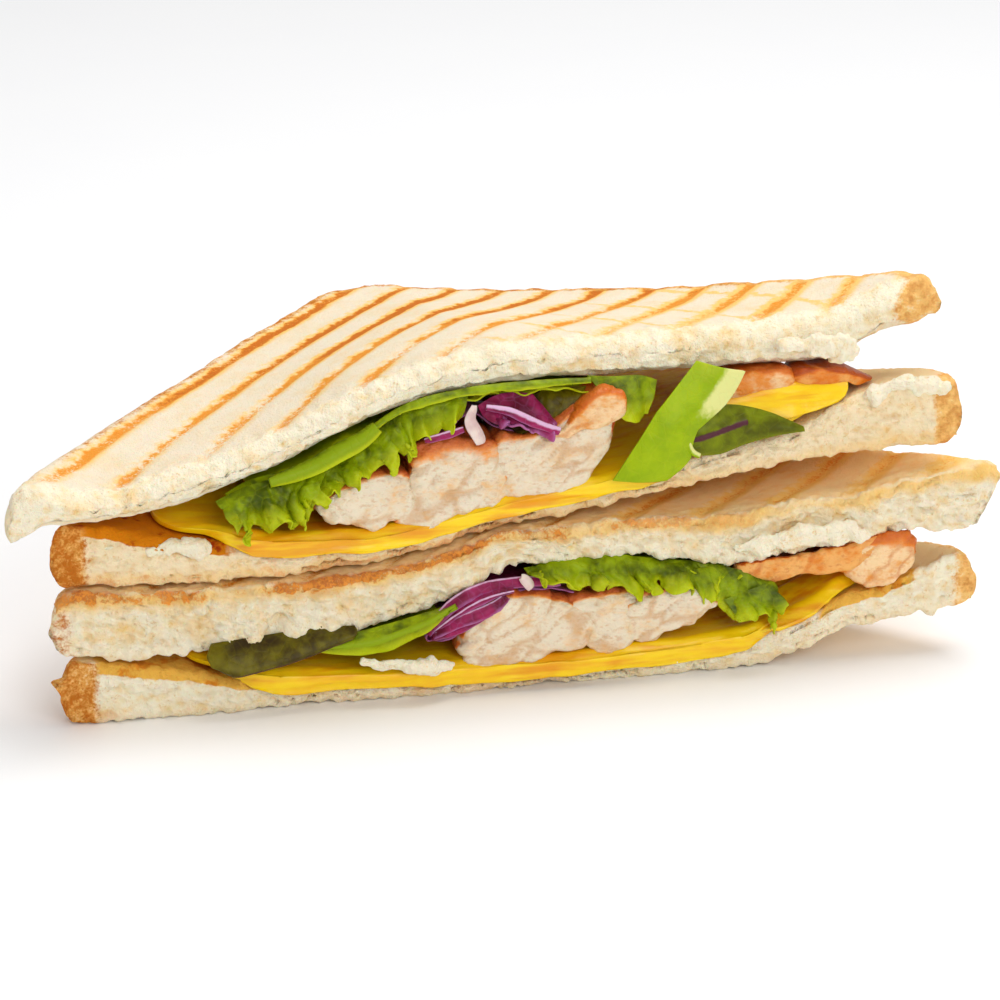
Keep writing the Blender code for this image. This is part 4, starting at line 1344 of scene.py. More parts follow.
@dataclass
class ChickenPiece:
    """A chunk of breast: a rounded outline at the cut, drawn back into the sandwich."""

    name: str
    outline: tuple[Pair, ...]
    room: FillingRoom
    depth: Pair
    headroom: float
    seed: int
    browning: Triple = (1.6, 0.9, 0.0)
    finish: ChickenFinish = COOKED
    uneven: float = 1.0
    hang: float = 2.4
    ring: int = 100
    voxel: float = 0.48
    solid: bool = True

    def rough(self) -> Form:
        """The chunk with smooth sides."""
        ring = smooth_curve(self.outline, self.ring, closed=True)[::-1]
        centre = ring.mean(axis=0)
        start, end = self.depth
        depths = np.array([start, start + 0.3, start + 0.8, start + 1.6, start + 3.0, start + 6.0])
        depths = np.concatenate([depths, np.linspace(start + 6.0, end, 7)[1:]])
        stations = (start, start + 0.3, start + 0.8, start + 1.6, start + 3.0, 0.6 * end + 0.4 * start, end)
        scales = np.interp(depths, stations, (0.7, 0.87, 0.96, 1.0, 1.0, 0.88, 0.4))
        points = []
        for depth, scale in zip(depths, scales):
            x = centre[0] + (ring[:, 0] - centre[0]) * scale
            height = centre[1] + (ring[:, 1] - centre[1]) * scale
            y, z = self.room.follow(x, depth, height)
            low = self.room.bed(x, y) - self.hang * smooth_step((1.2 - depth) / 2.0)
            rise = 1.8 * smooth_step((2.6 - depth) / 2.5)
            high = self.room.roof(x, y) + rise - self.headroom * smooth_step((depth - 1.0) / 6.0)
            points.append(np.stack([x, y, np.clip(z, low, np.maximum(high, low + 1.0))], axis=-1))
        count, faces = self.ring, []
        for first in range(0, count * (len(depths) - 1), count):
            for k in range(count):
                a, b = first + k, first + (k + 1) % count
                faces += [(a, b + count, b), (a, a + count, b + count)]
        form = Form(np.concatenate(points), np.array(faces))
        return self.capped(form, count, count * (len(depths) - 1))

    @staticmethod
    def capped(form: Form, count: int, last: int) -> Form:
        """Closes the two ends with fans that follow the outline."""
        points, faces = [form.points], [form.faces]
        total = len(form.points)
        for start, flip in ((0, False), (last, True)):
            ring = form.points[start : start + count]
            middle = ring.mean(axis=0)
            points.append(middle[None, :])
            a = np.arange(start, start + count)
            b = np.roll(a, -1)
            hub = np.full(count, total)
            fan = np.stack([a, b, hub], -1)
            faces.append(fan[:, ::-1] if flip else fan)
            total += 1
        return Form(np.concatenate(points), np.concatenate(faces))

    def build(self, finish: Material) -> bpy.types.Object:
        """Makes the chunk and puts it in place of its solid."""
        form = self.rough().remeshed(self.voxel)
        grain, points, normals = Grain(self.seed), form.points, form.normals()
        slant = math.radians(34.0)
        turned = points.copy()
        turned[:, 0] = points[:, 0] * math.cos(slant) + points[:, 2] * math.sin(slant)
        turned[:, 2] = points[:, 2] * math.cos(slant) - points[:, 0] * math.sin(slant)
        drift = [grain.cloud(points + shift, 5.0, 2) for shift in (3.0, 17.0, 29.0)]
        turned += 1.1 * np.stack(drift, axis=-1)
        nearest, second = grain.cells(turned, (8.5, 10.0, 3.2))
        crease = smooth_step(1.0 - (second - nearest) / 0.3) * smooth_step(grain.cloud(points, 6.0, 2) + 0.75)
        folds = 0.55 * grain.cloud(turned, (7.0, 8.0, 2.6), 2) + 0.5 * grain.cloud(points, 4.5, 2)
        folds -= 0.35 * crease
        flakes = np.abs(grain.cloud(turned + 11.0, (3.2, 5.0, 1.1), 2)) * 0.36
        strands = 0.12 * grain.cloud(turned + 40.0, (2.6, 5.0, 0.5), 2)
        form.points = points + normals * (self.uneven * (folds + flakes - 0.15 + strands))[:, None]
        form.marks["browned"] = self.browned(points, normals, grain)
        form.marks["crease"] = np.clip(crease + 0.4 * smooth_step(-folds - 0.1), 0.0, 1.0)
        node = f"chicken_{self.name}" if self.solid else None
        return place_piece(f"breast_{self.name}", form, finish, node)

    def browned(self, points: Array, normals: Array, grain: Grain) -> Array:
        """How brown the meat is: on the outside of the breast, which shows above the cut."""
        outline = smooth_curve(self.outline, self.ring, closed=True)
        order = np.argsort(outline[:, 0])
        centre = outline[:, 1].mean()
        top = outline[order][outline[order][:, 1] >= centre]
        left = outline[:, 0].min()
        rim, side, face = self.browning
        ragged = 1.0 + 0.7 * grain.cloud(points + 60.0, (4.0, 4.0, 2.5), 2)
        under = np.interp(points[:, 0], top[:, 0], top[:, 1]) - points[:, 2]
        near_top = smooth_step(1.0 - (under - 0.3) / np.maximum(rim * ragged, 0.05))
        near_left = smooth_step(1.0 - (points[:, 0] - left) / np.maximum(side * ragged, 0.05))
        behind = points[:, 1] - self.room.front(points[:, 0]) - self.depth[0]
        outside = smooth_step((behind - 2.0) / 3.0) * smooth_step((normals[:, 1] + 0.7) / 0.5)
        return np.clip(np.maximum(np.maximum(near_top, near_left), outside) + face, 0.0, 1.0)


@dataclass
class Chicken:
    """Every chunk of chicken in the two fillings."""

    pieces: tuple[ChickenPiece, ...] = (
        ChickenPiece(
            "upper_left",
            (
                (-31.6, 34.6), (-27.8, 37.5), (-23.2, 39.6), (-19, 40.3), (-15.6, 39.2), (-14.4, 36.2),
                (-15.4, 33), (-19.9, 30.4), (-25, 30.2), (-29.4, 31.8),
            ),
            UPPER_ROOM, (-2.0, 34.0), 3.0, 11, (1.1, 0.4, 0.0),
        ),
        ChickenPiece(
            "upper_middle",
            (
                (-18.2, 31), (-16, 34.7), (-16.4, 39.9), (-15.4, 43.3), (-12.2, 44.8), (-7.2, 44.6),
                (-2.1, 44.8), (0.1, 42.9), (0.6, 39.3), (1.9, 34.9), (0.5, 32), (-5.5, 30.6),
                (-12.3, 29.6),
            ),
            UPPER_ROOM, (-2.2, 46.0), 3.0, 12, (4.4, 1.2, 0.0),
        ),
        ChickenPiece(
            "upper_right",
            (
                (-0.6, 43.6), (2.3, 45), (7.4, 45.8), (11.7, 48.2), (15.9, 49.6), (18.9, 48.1), (20.4, 44.5),
                (18.9, 41.1), (16.5, 37), (13.5, 33.6), (8.3, 32), (2.2, 31.8), (-0.6, 36.4),
            ),
            UPPER_ROOM, (-2.0, 44.0), 3.0, 13, (2.2, 0.0, 0.0),
        ),
        ChickenPiece(
            "upper_fold",
            (
                (6.8, 43.6), (10, 45.2), (13.1, 49), (17.5, 51.6), (20.8, 50.6), (21.4, 47.6),
                (19.8, 45.6), (16.4, 44.4), (13.8, 44.2), (10.4, 42.9),
            ),
            UPPER_ROOM, (-2.9, 12.0), 0.0, 24, (1.4, 0.6, 0.1), GOLDEN, 0.6, solid=False,
        ),
        ChickenPiece(
            "upper_slice",
            (
                (34, 42.8), (38, 46), (41.6, 50.6), (46.8, 51.4), (50.8, 50.8), (52.2, 48.4), (50.6, 46.6),
                (46.5, 45.6), (41, 43.6),
            ),
            UPPER_ROOM, (2.4, 27.0), 0.0, 14, (1.2, 0.0, 0.4), GOLDEN, 0.45,
        ),
        ChickenPiece(
            "upper_corner",
            ((51.2, 49.6), (54.6, 51), (58.8, 50.4), (65.2, 48.4), (67, 47.4), (61, 46.2), (53.8, 46.6)),
            UPPER_ROOM, (2.2, 16.0), 0.0, 15, (1.0, 0.0, 0.3), ROASTED, 0.3, voxel=0.35,
        ),
        ChickenPiece(
            "lower_left",
            (
                (-8.2, 8.4), (-6.6, 12.4), (-4.2, 15.7), (0.1, 17.6), (6.1, 17.4), (11.8, 15.2), (15.5, 12.6),
                (17.2, 9.6), (14.4, 6.9), (9.6, 6), (2.7, 4.6), (-2.5, 4.4), (-6.3, 5.6),
            ),
            LOWER_ROOM, (-1.8, 40.0), 3.0, 16, (1.2, 0.3, 0.0),
        ),
        ChickenPiece(
            "lower_middle",
            (
                (10.6, 15.1), (16.5, 16.6), (21.8, 16.8), (25.4, 13.6), (24.4, 10), (22.6, 6.6),
                (17.8, 5.2), (13.4, 7), (11.8, 11),
            ),
            LOWER_ROOM, (-1.5, 36.0), 3.0, 17, (1.1, 0.0, 0.0),
        ),
        ChickenPiece(
            "lower_right",
            (
                (20.6, 8), (20.9, 12.9), (23.6, 15.8), (29, 17), (32.1, 17.2), (35.2, 15), (36.6, 12.9),
                (33.4, 10.4), (28, 7.8), (23.5, 6.2),
            ),
            LOWER_ROOM, (-2.0, 32.0), 3.0, 18, (1.0, 0.0, 0.0),
        ),
        ChickenPiece(
            "lower_corner",
            (
                (40.6, 18.6), (49, 20), (57, 20.9), (63.5, 22.3), (68.4, 22.8), (69.5, 20), (66, 18),
                (62.5, 16.4), (56.8, 15.8), (49.7, 15.6), (42.6, 14.2),
            ),
            LOWER_ROOM, (-0.8, 17.0), 0.0, 19, (0.0, 0.0, 0.15), ROASTED, 0.6, 0.6,
        ),
        ChickenPiece(
            "lower_end",
            (
                (57.4, 17.2), (60.4, 20.6), (65, 22), (70.4, 22.2), (72.6, 19.2), (70.6, 15), (67, 12.6),
                (63.4, 13), (60, 15),
            ),
            LOWER_ROOM, (-0.9, 6.0), 0.0, 25, (2.6, 3.4, 0.12), GOLDEN, 0.7, 1.6, voxel=0.35, solid=False,
        ),
    )

    def build(self) -> None:
        """Makes every chunk."""
        materials = {finish.name: finish.material() for finish in (COOKED, GOLDEN, ROASTED)}
        for piece in self.pieces:
            piece.build(materials[piece.finish.name])


# Leaves


@dataclass(frozen=True)
class LeafFinish:
    """A salad leaf: a bright blade, paler veins, and a hem and ribs of other tones."""

    name: str
    blade: Colour
    deep: Colour
    hem: Colour
    rib: Colour
    hem_start: float = 0.55
    slot: str = "green_lettuce"

    def material(self) -> Material:
        """Makes the material."""
        sheet = Sheet(self.name)
        _, across, rib = sheet.marks("blade")
        broad, fine, patch = sheet.noise(3.4, 2.0), sheet.noise(0.9, 2.0), sheet.noise(9.0, 2.0)
        veins = sheet.node(
            "ShaderNodeTexVoronoi",
            {"feature": "DISTANCE_TO_EDGE"},
            {"Vector": sheet.place, "Scale": 1.0 / 2.1},
            "Distance",
        ).step(0.09, 0.0)
        colour = sheet.mix((broad * 0.8 + patch * 0.5 + fine * 0.2).step(0.55, 0.95), self.blade, self.deep)
        towards_hem = across + (broad - 0.5) * 0.6 + (fine - 0.5) * 0.2
        bright = towards_hem.step(self.hem_start, self.hem_start + 0.45)
        colour = sheet.mix(bright * 0.75, colour, self.hem)
        colour = sheet.mix(veins * 0.08, colour, self.hem)
        colour = sheet.mix((rib + (fine - 0.5) * 0.5).step(0.3, 0.8), colour, self.rib)
        relief = sheet.bump(veins * -0.2 + fine * 0.6, 0.16)
        return sheet.finish(
            colour, relief, 0.42, specular_ior_level=0.14, subsurface_weight=0.08, subsurface_scale=0.001,
            coat_weight=0.03, coat_roughness=0.2,
        )


@dataclass(frozen=True)
class Blade:
    """One thin wavy sheet of a leaf, from its root to its hem."""

    surface: Patch
    columns: int = 120
    rows: int = 46
    ruffle: float = 0.5
    ruffle_size: float = 3.2
    curl: float = 0.0
    period: float = 4.2
    ragged: float = 0.1
    thickness: float = 0.45
    rib: Surface | None = None

    def form(self, seed: int) -> Form:
        """The sheet.

        Args:
            seed: Which unevenness it gets.

        Returns:
            Its shape, with what the leaf's finish reads.
        """
        grain = Grain(seed)
        along, across = np.meshgrid(np.linspace(0.0, 1.0, self.columns), np.linspace(0.0, 1.0, self.rows))
        edge = np.stack(self.surface(along[-1:], across[-1:]), axis=-1)[0]
        length = np.concatenate([[0.0], np.cumsum(np.linalg.norm(np.diff(edge, axis=0), axis=1))])
        lobes = (0.5 + 0.7 * grain.line(length, 2.8, 2)).clip(0.0, None) * self.ragged
        hem = across * (1.0 - lobes[None, :] * across**3)
        middle = np.stack(self.surface(along, hem), axis=-1)
        phase = 2.0 * math.pi * length / self.period + 2.4 * grain.line(length, 5.0, 2)
        aside, rise = 0.55 * np.cos(0.5 * phase + 1.0), 0.45 * np.sin(1.7 * phase + 1.0)
        sway = np.stack([aside, -0.35 - np.sin(phase), rise], axis=-1)
        middle = middle + (self.curl * across**1.8)[..., None] * sway[None]
        wave = grain.cloud(middle.reshape(-1, 3), self.ruffle_size, 3).reshape(along.shape)
        middle = middle + self.across_sheet(middle) * (wave * self.ruffle * (0.3 + 0.7 * across))[..., None]
        rib = self.rib(along, across) if self.rib else np.zeros_like(along)
        thick = self.thickness * (1.0 - 0.5 * across**2) * (1.0 + 1.2 * rib)
        half = self.across_sheet(middle) * (thick * 0.5)[..., None]
        form = Form(*closed_grid(middle + half, middle - half))
        marks = np.stack([along, across, rib], axis=-1).reshape(-1, 3)
        form.marks["blade"] = np.concatenate([marks, marks])
        return form

    @staticmethod
    def across_sheet(middle: Array) -> Array:
        """The direction through the sheet at each of its points."""
        normal = np.cross(np.gradient(middle, axis=1), np.gradient(middle, axis=0))
        return normal / np.maximum(np.linalg.norm(normal, axis=-1, keepdims=True), 1e-9)


@dataclass(frozen=True)
class Leaf:
    """A leaf: one or more sheets that grow from one root."""

    name: str
    node: str | None
    finish: LeafFinish
    seed: int
    blades: tuple[Blade, ...]

    def build(self, finish: Material) -> bpy.types.Object:
        """Makes the leaf and puts it in place of its solid."""
        form = self.blades[0].form(self.seed)
        for number, blade in enumerate(self.blades[1:]):
            form = form + blade.form(self.seed + 100 * (number + 1))
        return place_piece(self.name, form, finish, self.node)


def ruffle(share: Array, waves: float, phase: float = 0.0) -> Array:
    """A plain wave along a share."""
    return np.sin(2.0 * math.pi * (waves * share + phase))


def ridge(place: float, width: float) -> Surface:
    """A rib that runs along a sheet.

    Args:
        place: The share across the sheet where it runs.
        width: How wide it is, as a share.

    Returns:
        A function that gives the rib's strength for each share along and across the sheet.
    """

    def strength(along: Array, across: Array) -> Array:
        """How strong the rib is at each share."""
        return np.exp(-(((across - place) / width) ** 2))

    return strength


LETTUCE = LeafFinish(
    "green lettuce", paint(146, 166, 2), paint(66, 80, 0), paint(196, 206, 18), paint(138, 160, 8), 0.48
)
PALE = LeafFinish(
    "pale lettuce", paint(158, 182, 0), paint(138, 166, 0), paint(198, 206, 40), paint(222, 222, 140), 0.85
)
DARK = LeafFinish(
    "dark lettuce", paint(120, 132, 2), paint(76, 78, 0), paint(146, 150, 16), paint(84, 40, 50), 0.8,
    "dark_lettuce",
)
OLIVE = LeafFinish(
    "olive leaf", paint(108, 98, 2), paint(52, 36, 0), paint(130, 122, 12), paint(84, 54, 36), 0.85,
    "dark_lettuce",
)
# The lilac hem colour is a painted highlight along the radicchio's edges. The pale rib colour also paints the
# highlight strand.
RADICCHIO = LeafFinish(
    "radicchio leaf", paint(158, 34, 88), paint(92, 6, 34), paint(190, 120, 178),
    paint(216, 176, 206), 0.6, "radicchio",
)
WHITE_RIB = LeafFinish(
    "radicchio rib", paint(230, 212, 200), paint(206, 172, 168), paint(224, 190, 208),
    paint(236, 226, 214), 0.8, "radicchio",
)


@dataclass(frozen=True)
class Greens:
    """Every leaf of the two fillings."""

    hanging_share: float = 0.34
    hem_gap: float = 0.4
    hem_run: float = 2.0
    back_share: float = 0.62

    def roof_leaf(
        self, room: FillingRoom, ends: Pair, hem: tuple[Pair, ...], waves: float
    ) -> Patch:
        """A leaf that lies under a slice and turns down at the cut, where its ruffled hem hangs.

        Args:
            room: The filling's room.
            ends: Its left and right ends along the cut.
            hem: Places along the cut and how high the hem hangs there.
            waves: How many ruffles the hem has.

        Returns:
            A function that gives the leaf's point for each share along and across it.
        """
        places, drops = zip(*hem)
        hanging, run = self.hanging_share, self.hem_run

        def surface(along: Array, across: Array) -> tuple[Array, Array, Array]:
            """The leaf's middle."""
            across = 1.0 - across
            x = ends[0] + (ends[1] - ends[0]) * along
            reach = (Profile.HALF_DIAGONAL - np.abs(x)) * self.back_share - 4.0
            back = np.clip((across - hanging) / (1.0 - hanging), 0.0, 1.0)
            depth = np.where(across < hanging, run * across / hanging, run + back * reach)
            y = room.front(x) + self.hem_gap + depth
            turned = (1.0 - np.clip(across / hanging, 0.0, 1.0)) ** 1.5
            wave = 0.4 * ruffle(along, waves) * (1.0 - back)
            roof = room.roof(x, y) - 1.4 + np.minimum(wave, 0.35)
            low = np.interp(x, places, drops) + wave + 0.4 * ruffle(along, waves * 2.7, 0.4)
            y = y - 0.9 * turned * (1.0 + ruffle(along, waves, 0.2))
            return x, y, roof * (1.0 - turned) + low * turned

        return surface

    @staticmethod
    def folded(
        room: FillingRoom, outline: tuple[Pair, ...], depth: Pair, columns: int
    ) -> Patch:
        """A leaf seen edge-on at the cut: its folded edge drawn back into the sandwich.

        Args:
            room: The filling's room.
            outline: The folded edge, as places along the cut and heights.
            depth: How far behind the cut its edge and its root lie.
            columns: How many points the edge gets.

        Returns:
            A function that gives the leaf's point for each share along and across it.
        """
        edge = smooth_curve(outline, columns)

        def surface(along: Array, across: Array) -> tuple[Array, Array, Array]:
            """The leaf's middle."""
            share = np.linspace(0.0, 1.0, columns)
            x = np.interp(along, share, edge[:, 0])
            height = np.interp(along, share, edge[:, 1])
            y, z = room.follow(x, depth[0] + (1.0 - across) * (depth[1] - depth[0]), height)
            return x, y, z

        return surface

    @staticmethod
    def upper_blade(along: Array, across: Array) -> tuple[Array, Array, Array]:
        """The pale piece of leaf that leans against the cut.

        Args:
            along: The share from its left edge to its right one.
            across: The share from its foot to its tip.

        Returns:
            The piece's point at each share.
        """
        stations = (0, 0.3, 0.6, 0.8, 1)
        left = np.interp(across, stations, (18.4, 21.6, 25.8, 29.2, 33.2))
        right = np.interp(across, stations, (27.6, 31.4, 33.2, 37.4, 41.4))
        low = np.interp(across, stations, (35.8, 40.9, 47, 50.6, 54.8))
        high = np.interp(across, stations, (35.2, 39, 43.6, 47.4, 52.4))
        y = -3.4 - 0.8 * np.sin(math.pi * across) - 1.0 * np.sin(math.pi * along) + 2.0 * across**2
        bow = 0.5 * np.sin(3.0 * math.pi * across) * along
        return left + (right - left) * along + bow, y, low + (high - low) * along

    @staticmethod
    def white_base(along: Array, across: Array) -> Array:
        """How white the pale piece of leaf is, which it is towards its tip."""
        return smooth_step((along - 0.4) / 0.35) * smooth_step((across - 0.55) / 0.3)

    @staticmethod
    def tongue_vein(along: Array, across: Array) -> Array:
        """How strong the vein is that slants over the dark tongue."""
        vein = np.exp(-(((across - 0.72 + 0.5 * along) / 0.07) ** 2))
        return vein * (np.abs(along - 0.35) < 0.25)

    def upper_green(self) -> list[Leaf]:
        """The green leaves of the upper filling."""
        hem = ((-42, 38), (-36, 40), (-30, 41.8), (-22, 45.8), (-14, 49.6), (0, 51.2), (14, 51), (20, 50.4))
        rib = (
            (-39.2, -1.6, 39.6), (-32.8, -1.6, 41.3), (-27.7, -1.6, 43.7), (-23.5, -1.6, 45.7),
            (-20.2, -1.6, 48.3),
        )
        edge = (
            (-22.4, -1.2, 47), (-17.2, -1.2, 50), (-12.1, -1.2, 51.4), (-5.4, -1.2, 52.3), (3.1, -1.2, 52.7),
            (11.6, -1.2, 52.7), (17.7, -1.2, 52.6),
        )
        under_rib = (
            (
                (-36.5, 0.4, 38.7), (-30.7, 0.4, 40.1), (-25.4, 0.4, 42.6), (-20.3, 0.4, 46.7),
                (-14.9, 0.4, 50),
            ),
            (
                (-35.4, -1.2, 37.2), (-29.9, -1.2, 38.8), (-25.3, -1.4, 41), (-19.9, -1.4, 44),
                (-14.7, -1.4, 47.2),
            ),
            (
                (-33.7, -2, 35.4), (-28.8, -2.2, 36.8), (-23.8, -2.4, 39.2), (-17.4, -2.4, 40.8),
                (-13.3, -2.4, 44.4),
            ),
        )
        middle = (
            ((-17.6, 0.8, 48.4), (-14.2, 0.8, 50.6), (-10, 0.8, 51.6), (-5.2, 0.8, 51.8)),
            ((-17.2, -1, 46.4), (-13.8, -1.2, 48.5), (-10.1, -1.2, 49.6), (-5.6, -1, 50.6)),
            ((-16.3, -1.8, 41.3), (-13.3, -2, 44), (-10.2, -2, 46), (-6, -1.8, 48)),
        )
        frill = (
            (
                (-47.9, -0.5, 36.6), (-43.9, -0.5, 38.6), (-39.2, -0.5, 39.6), (-34.2, -0.5, 39.7),
                (-28.8, -0.5, 41.3),
            ),
            (
                (-47.3, -2.6, 35.7), (-43.9, -2.8, 36.1), (-40, -2.8, 36.4), (-36, -2.6, 36.6),
                (-31.3, -2.4, 38.8),
            ),
            (
                (-45.3, -2.2, 31.9), (-42, -2.4, 31.3), (-37.8, -2.4, 32.3), (-33.8, -2.2, 33),
                (-29.2, -2, 37.4),
            ),
        )
        behind = tuple(tuple((x + 2.0, y + 2.0, z + 0.6) for x, y, z in row) for row in frill)
        shade = (
            ((2, 2.5, 45.8), (5.8, 2.5, 49.3), (9.5, 2.5, 50.7), (15.4, 2.5, 50.6)),
            ((2.3, 1, 44.7), (6.2, 1, 47.3), (9.1, 1, 49.1), (13.9, 1, 49.3)),
            ((3.5, -0.2, 43.7), (6.8, -0.4, 44.9), (9.5, -0.4, 46), (11.2, -0.2, 47.3)),
        )
        flap = (
            ((15.2, 1.5, 52.8), (19, 0.5, 52.6), (23.8, 0, 52.6), (26.8, 0, 51.6)),
            ((17, 0, 50.4), (20, -1, 49.5), (23, -1.2, 49), (26.2, -0.6, 49.4)),
            ((18.8, -0.8, 46.2), (20.5, -1.6, 45.2), (22.5, -1.6, 45), (25, -1, 46.4)),
        )
        return [
            Leaf(
                "leaf_upper_roof", "lettuce_upper_leaf", LETTUCE, 31,
                (
                    Blade(self.roof_leaf(UPPER_ROOM, (-42.0, 19.4), hem, 5), 148, 30, 0.5),
                    Blade(
                        ribbon_patch(rib, 3.0, 0.7), 89, 12, 0.2, thickness=0.9, ragged=0.0,
                        rib=ridge(0.45, 0.35),
                    ),
                    Blade(ribbon_patch(edge, 1.5, 0.6), 148, 10, 0.35, 2.4, ragged=0.3),
                    Blade(smooth_patch(under_rib), 141, 46, 1.1, 2.6, curl=1.8, period=4.6, ragged=0.3),
                    Blade(smooth_patch(middle), 89, 38, 0.6, curl=1.4, period=4.2, ragged=0.26),
                ),
            ),
            Leaf(
                "leaf_upper_frill", "lettuce_upper_frill", LETTUCE, 33,
                (
                    Blade(smooth_patch(frill), 155, 58, 1.2, 2.6, curl=2.2, period=5.0, ragged=0.26),
                    Blade(smooth_patch(behind), 104, 38, 0.8, curl=1.6, period=4.4, ragged=0.24),
                ),
            ),
            Leaf(
                "leaf_upper_shade", None, OLIVE, 42,
                (Blade(smooth_patch(shade), 59, 38, 0.6),),
            ),
            Leaf(
                "leaf_upper_flap", "lettuce_upper_flap", LETTUCE, 34,
                (Blade(smooth_patch(flap), 59, 38, 0.5, curl=0.5, period=3.0, ragged=0.3),),
            ),
            Leaf(
                "leaf_upper_pale", "lettuce_upper_blade", PALE, 35,
                (
                    Blade(
                        self.upper_blade, 67, 84, 0.3, 7.0, ragged=0.0, thickness=0.8, rib=self.white_base
                    ),
                ),
            ),
        ]

    def upper_other(self) -> list[Leaf]:
        """The dark tongue and the radicchio of the upper filling."""
        tongue = (
            (
                (32, -1, 44.8), (34.5, -0.6, 46.4), (38, -0.4, 46.4), (42, -0.4, 45.8), (46.5, -0.8, 44.4),
                (51.6, -2, 41.8),
            ),
            (
                (31, -2.4, 43), (33.4, -2.6, 42.6), (37.6, -2.6, 42.8), (42, -2.4, 43), (46.8, -2.2, 42.6),
                (51.8, -2.4, 41.6),
            ),
            (
                (31.8, -3, 40), (33.4, -3.4, 38.8), (37.2, -3.2, 38.8), (41.5, -3, 40), (46.9, -2.6, 40.9),
                (52, -2.4, 41.3),
            ),
        )
        white = ((-5.2, -2.6, 50.5), (-5.9, -2.9, 47.8), (-4.4, -2.9, 44.8), (-4.2, -2.8, 44))
        mass = (
            ((-3.8, 0, 49.4), (-0.6, 0.5, 50.9), (2.8, 0.5, 51.2), (5.6, 1, 50.4)),
            ((-2.8, -1.6, 47.6), (1, -1.9, 47.8), (5, -1.8, 46.8), (8.8, -1.4, 46.8)),
            ((0.4, -2.4, 46.6), (3, -2.8, 44.6), (6.4, -2.8, 43.4), (10.8, -2, 45)),
        )
        # Painted highlight: a pale lilac strand over the magenta mass.
        highlight_strand = ((-3, -2.4, 49.8), (0.6, -2.8, 49), (3.6, -2.9, 47.4), (7.4, -2.9, 45.6), (9.8, -2.4, 44.6))
        streak = ((-13.4, -2.6, 45), (-9.6, -2.8, 45.8), (-6.6, -2.8, 46.6))
        fold = (
            (-13, 43.8), (-8.5, 44.8), (-6.2, 47), (-3.4, 47.7), (-1, 45.6), (4, 44.2), (9, 45.4),
            (11, 47.2),
        )
        curled = ((34.6, -2.2, 46.4), (32, -2.8, 45), (31, -3.6, 42.6), (31.6, -4, 40), (33.6, -4, 38.7))
        scrap = ((2.6, -3.6, 20.2), (3.6, -3.9, 19.2), (4.2, -3.9, 18.2))
        return [
            Leaf(
                "leaf_upper_tongue", "lettuce_upper_dark", DARK, 36,
                (
                    Blade(
                        smooth_patch(tongue), 104, 46, 0.25, 5.0, ragged=0.03, thickness=0.7,
                        rib=self.tongue_vein,
                    ),
                ),
            ),
            Leaf(
                "leaf_upper_tongue_edge", None, PALE, 45,
                (Blade(ribbon_patch(curled, 0.9), 52, 10, 0.2, ragged=0.2, rib=ridge(0.3, 0.3)),),
            ),
            Leaf(
                "radicchio_upper_folds", "radicchio_upper", RADICCHIO, 40,
                (
                    Blade(self.folded(UPPER_ROOM, fold, (0.2, 20.0), 120), 111, 26, 0.5),
                    Blade(smooth_patch(mass), 89, 38, 0.8, curl=1.0, period=4.4, ragged=0.4, thickness=0.6),
                    Blade(ribbon_patch(highlight_strand, 1.5), 67, 11, 0.3, thickness=0.6, rib=ridge(0.3, 0.22)),
                    Blade(ribbon_patch(streak, 1.2), 44, 10, 0.2, rib=ridge(0.2, 0.1)),
                ),
            ),
            Leaf(
                "radicchio_upper_rib", None, WHITE_RIB, 43,
                (Blade(ribbon_patch(white, 2.3), 44, 18, 0.5, thickness=0.8),),
            ),
            Leaf(
                "radicchio_lower_rib", None, WHITE_RIB, 44,
                (Blade(ribbon_patch(scrap, 1.8), 37, 15, 0.3, thickness=0.7),),
            ),
        ]

    def lower_green(self) -> list[Leaf]:
        """The green leaves of the lower filling."""
        hem = ((7, 19.6), (14, 19.4), (17, 18.4), (26, 18), (31, 18.9), (36, 17), (41, 16.8))
        front = (
            (
                (3.7, -1.5, 21), (9.9, -1.5, 21.7), (17.7, -1.5, 22.1), (25.5, -1.5, 20.8),
                (34.3, -1.5, 19.3), (39.2, -1.5, 18.2),
            ),
            (
                (4.6, -3.6, 20.4), (11.5, -3.8, 20.1), (17.7, -4, 19.5), (25, -4, 18.9), (32.3, -3.8, 18),
                (38.5, -3.8, 17.3),
            ),
            (
                (6.9, -4.2, 18.8), (14.1, -4.4, 17), (20, -4.6, 16), (27, -4.6, 15.8), (33, -4.4, 15.2),
                (37.8, -4.2, 15.8),
            ),
        )
        tip = (
            ((31.2, -2.6, 18.5), (34, -2.6, 18.6), (37.5, -2.6, 18.6)),
            ((31.8, -4.6, 17.1), (34.2, -5, 16.5), (36.7, -4.6, 17)),
            ((33.2, -5, 14.9), (34.9, -5.2, 12.6), (36.6, -5, 15)),
        )
        frill = (
            ((33.5, -2, 19.4), (37, -2.5, 18.8), (40.5, -3, 18), (44, -3, 16.6)),
            ((36, -4, 15.2), (39, -4.8, 14.4), (43, -5, 13.6), (47.5, -4.6, 13.8)),
            ((36, -4, 11.6), (40, -5, 10.2), (43, -5.2, 8.4), (46.8, -5, 7.6)),
        )
        lobe = (
            ((37.6, -4.6, 13.4), (41, -4.8, 14.6), (45, -4.6, 15.6)),
            ((39, -5.6, 11.6), (43, -6, 12.4), (47.6, -5.6, 13.2)),
            ((40.4, -5.4, 9.8), (44.6, -5.8, 10.4), (49, -5.4, 11)),
        )
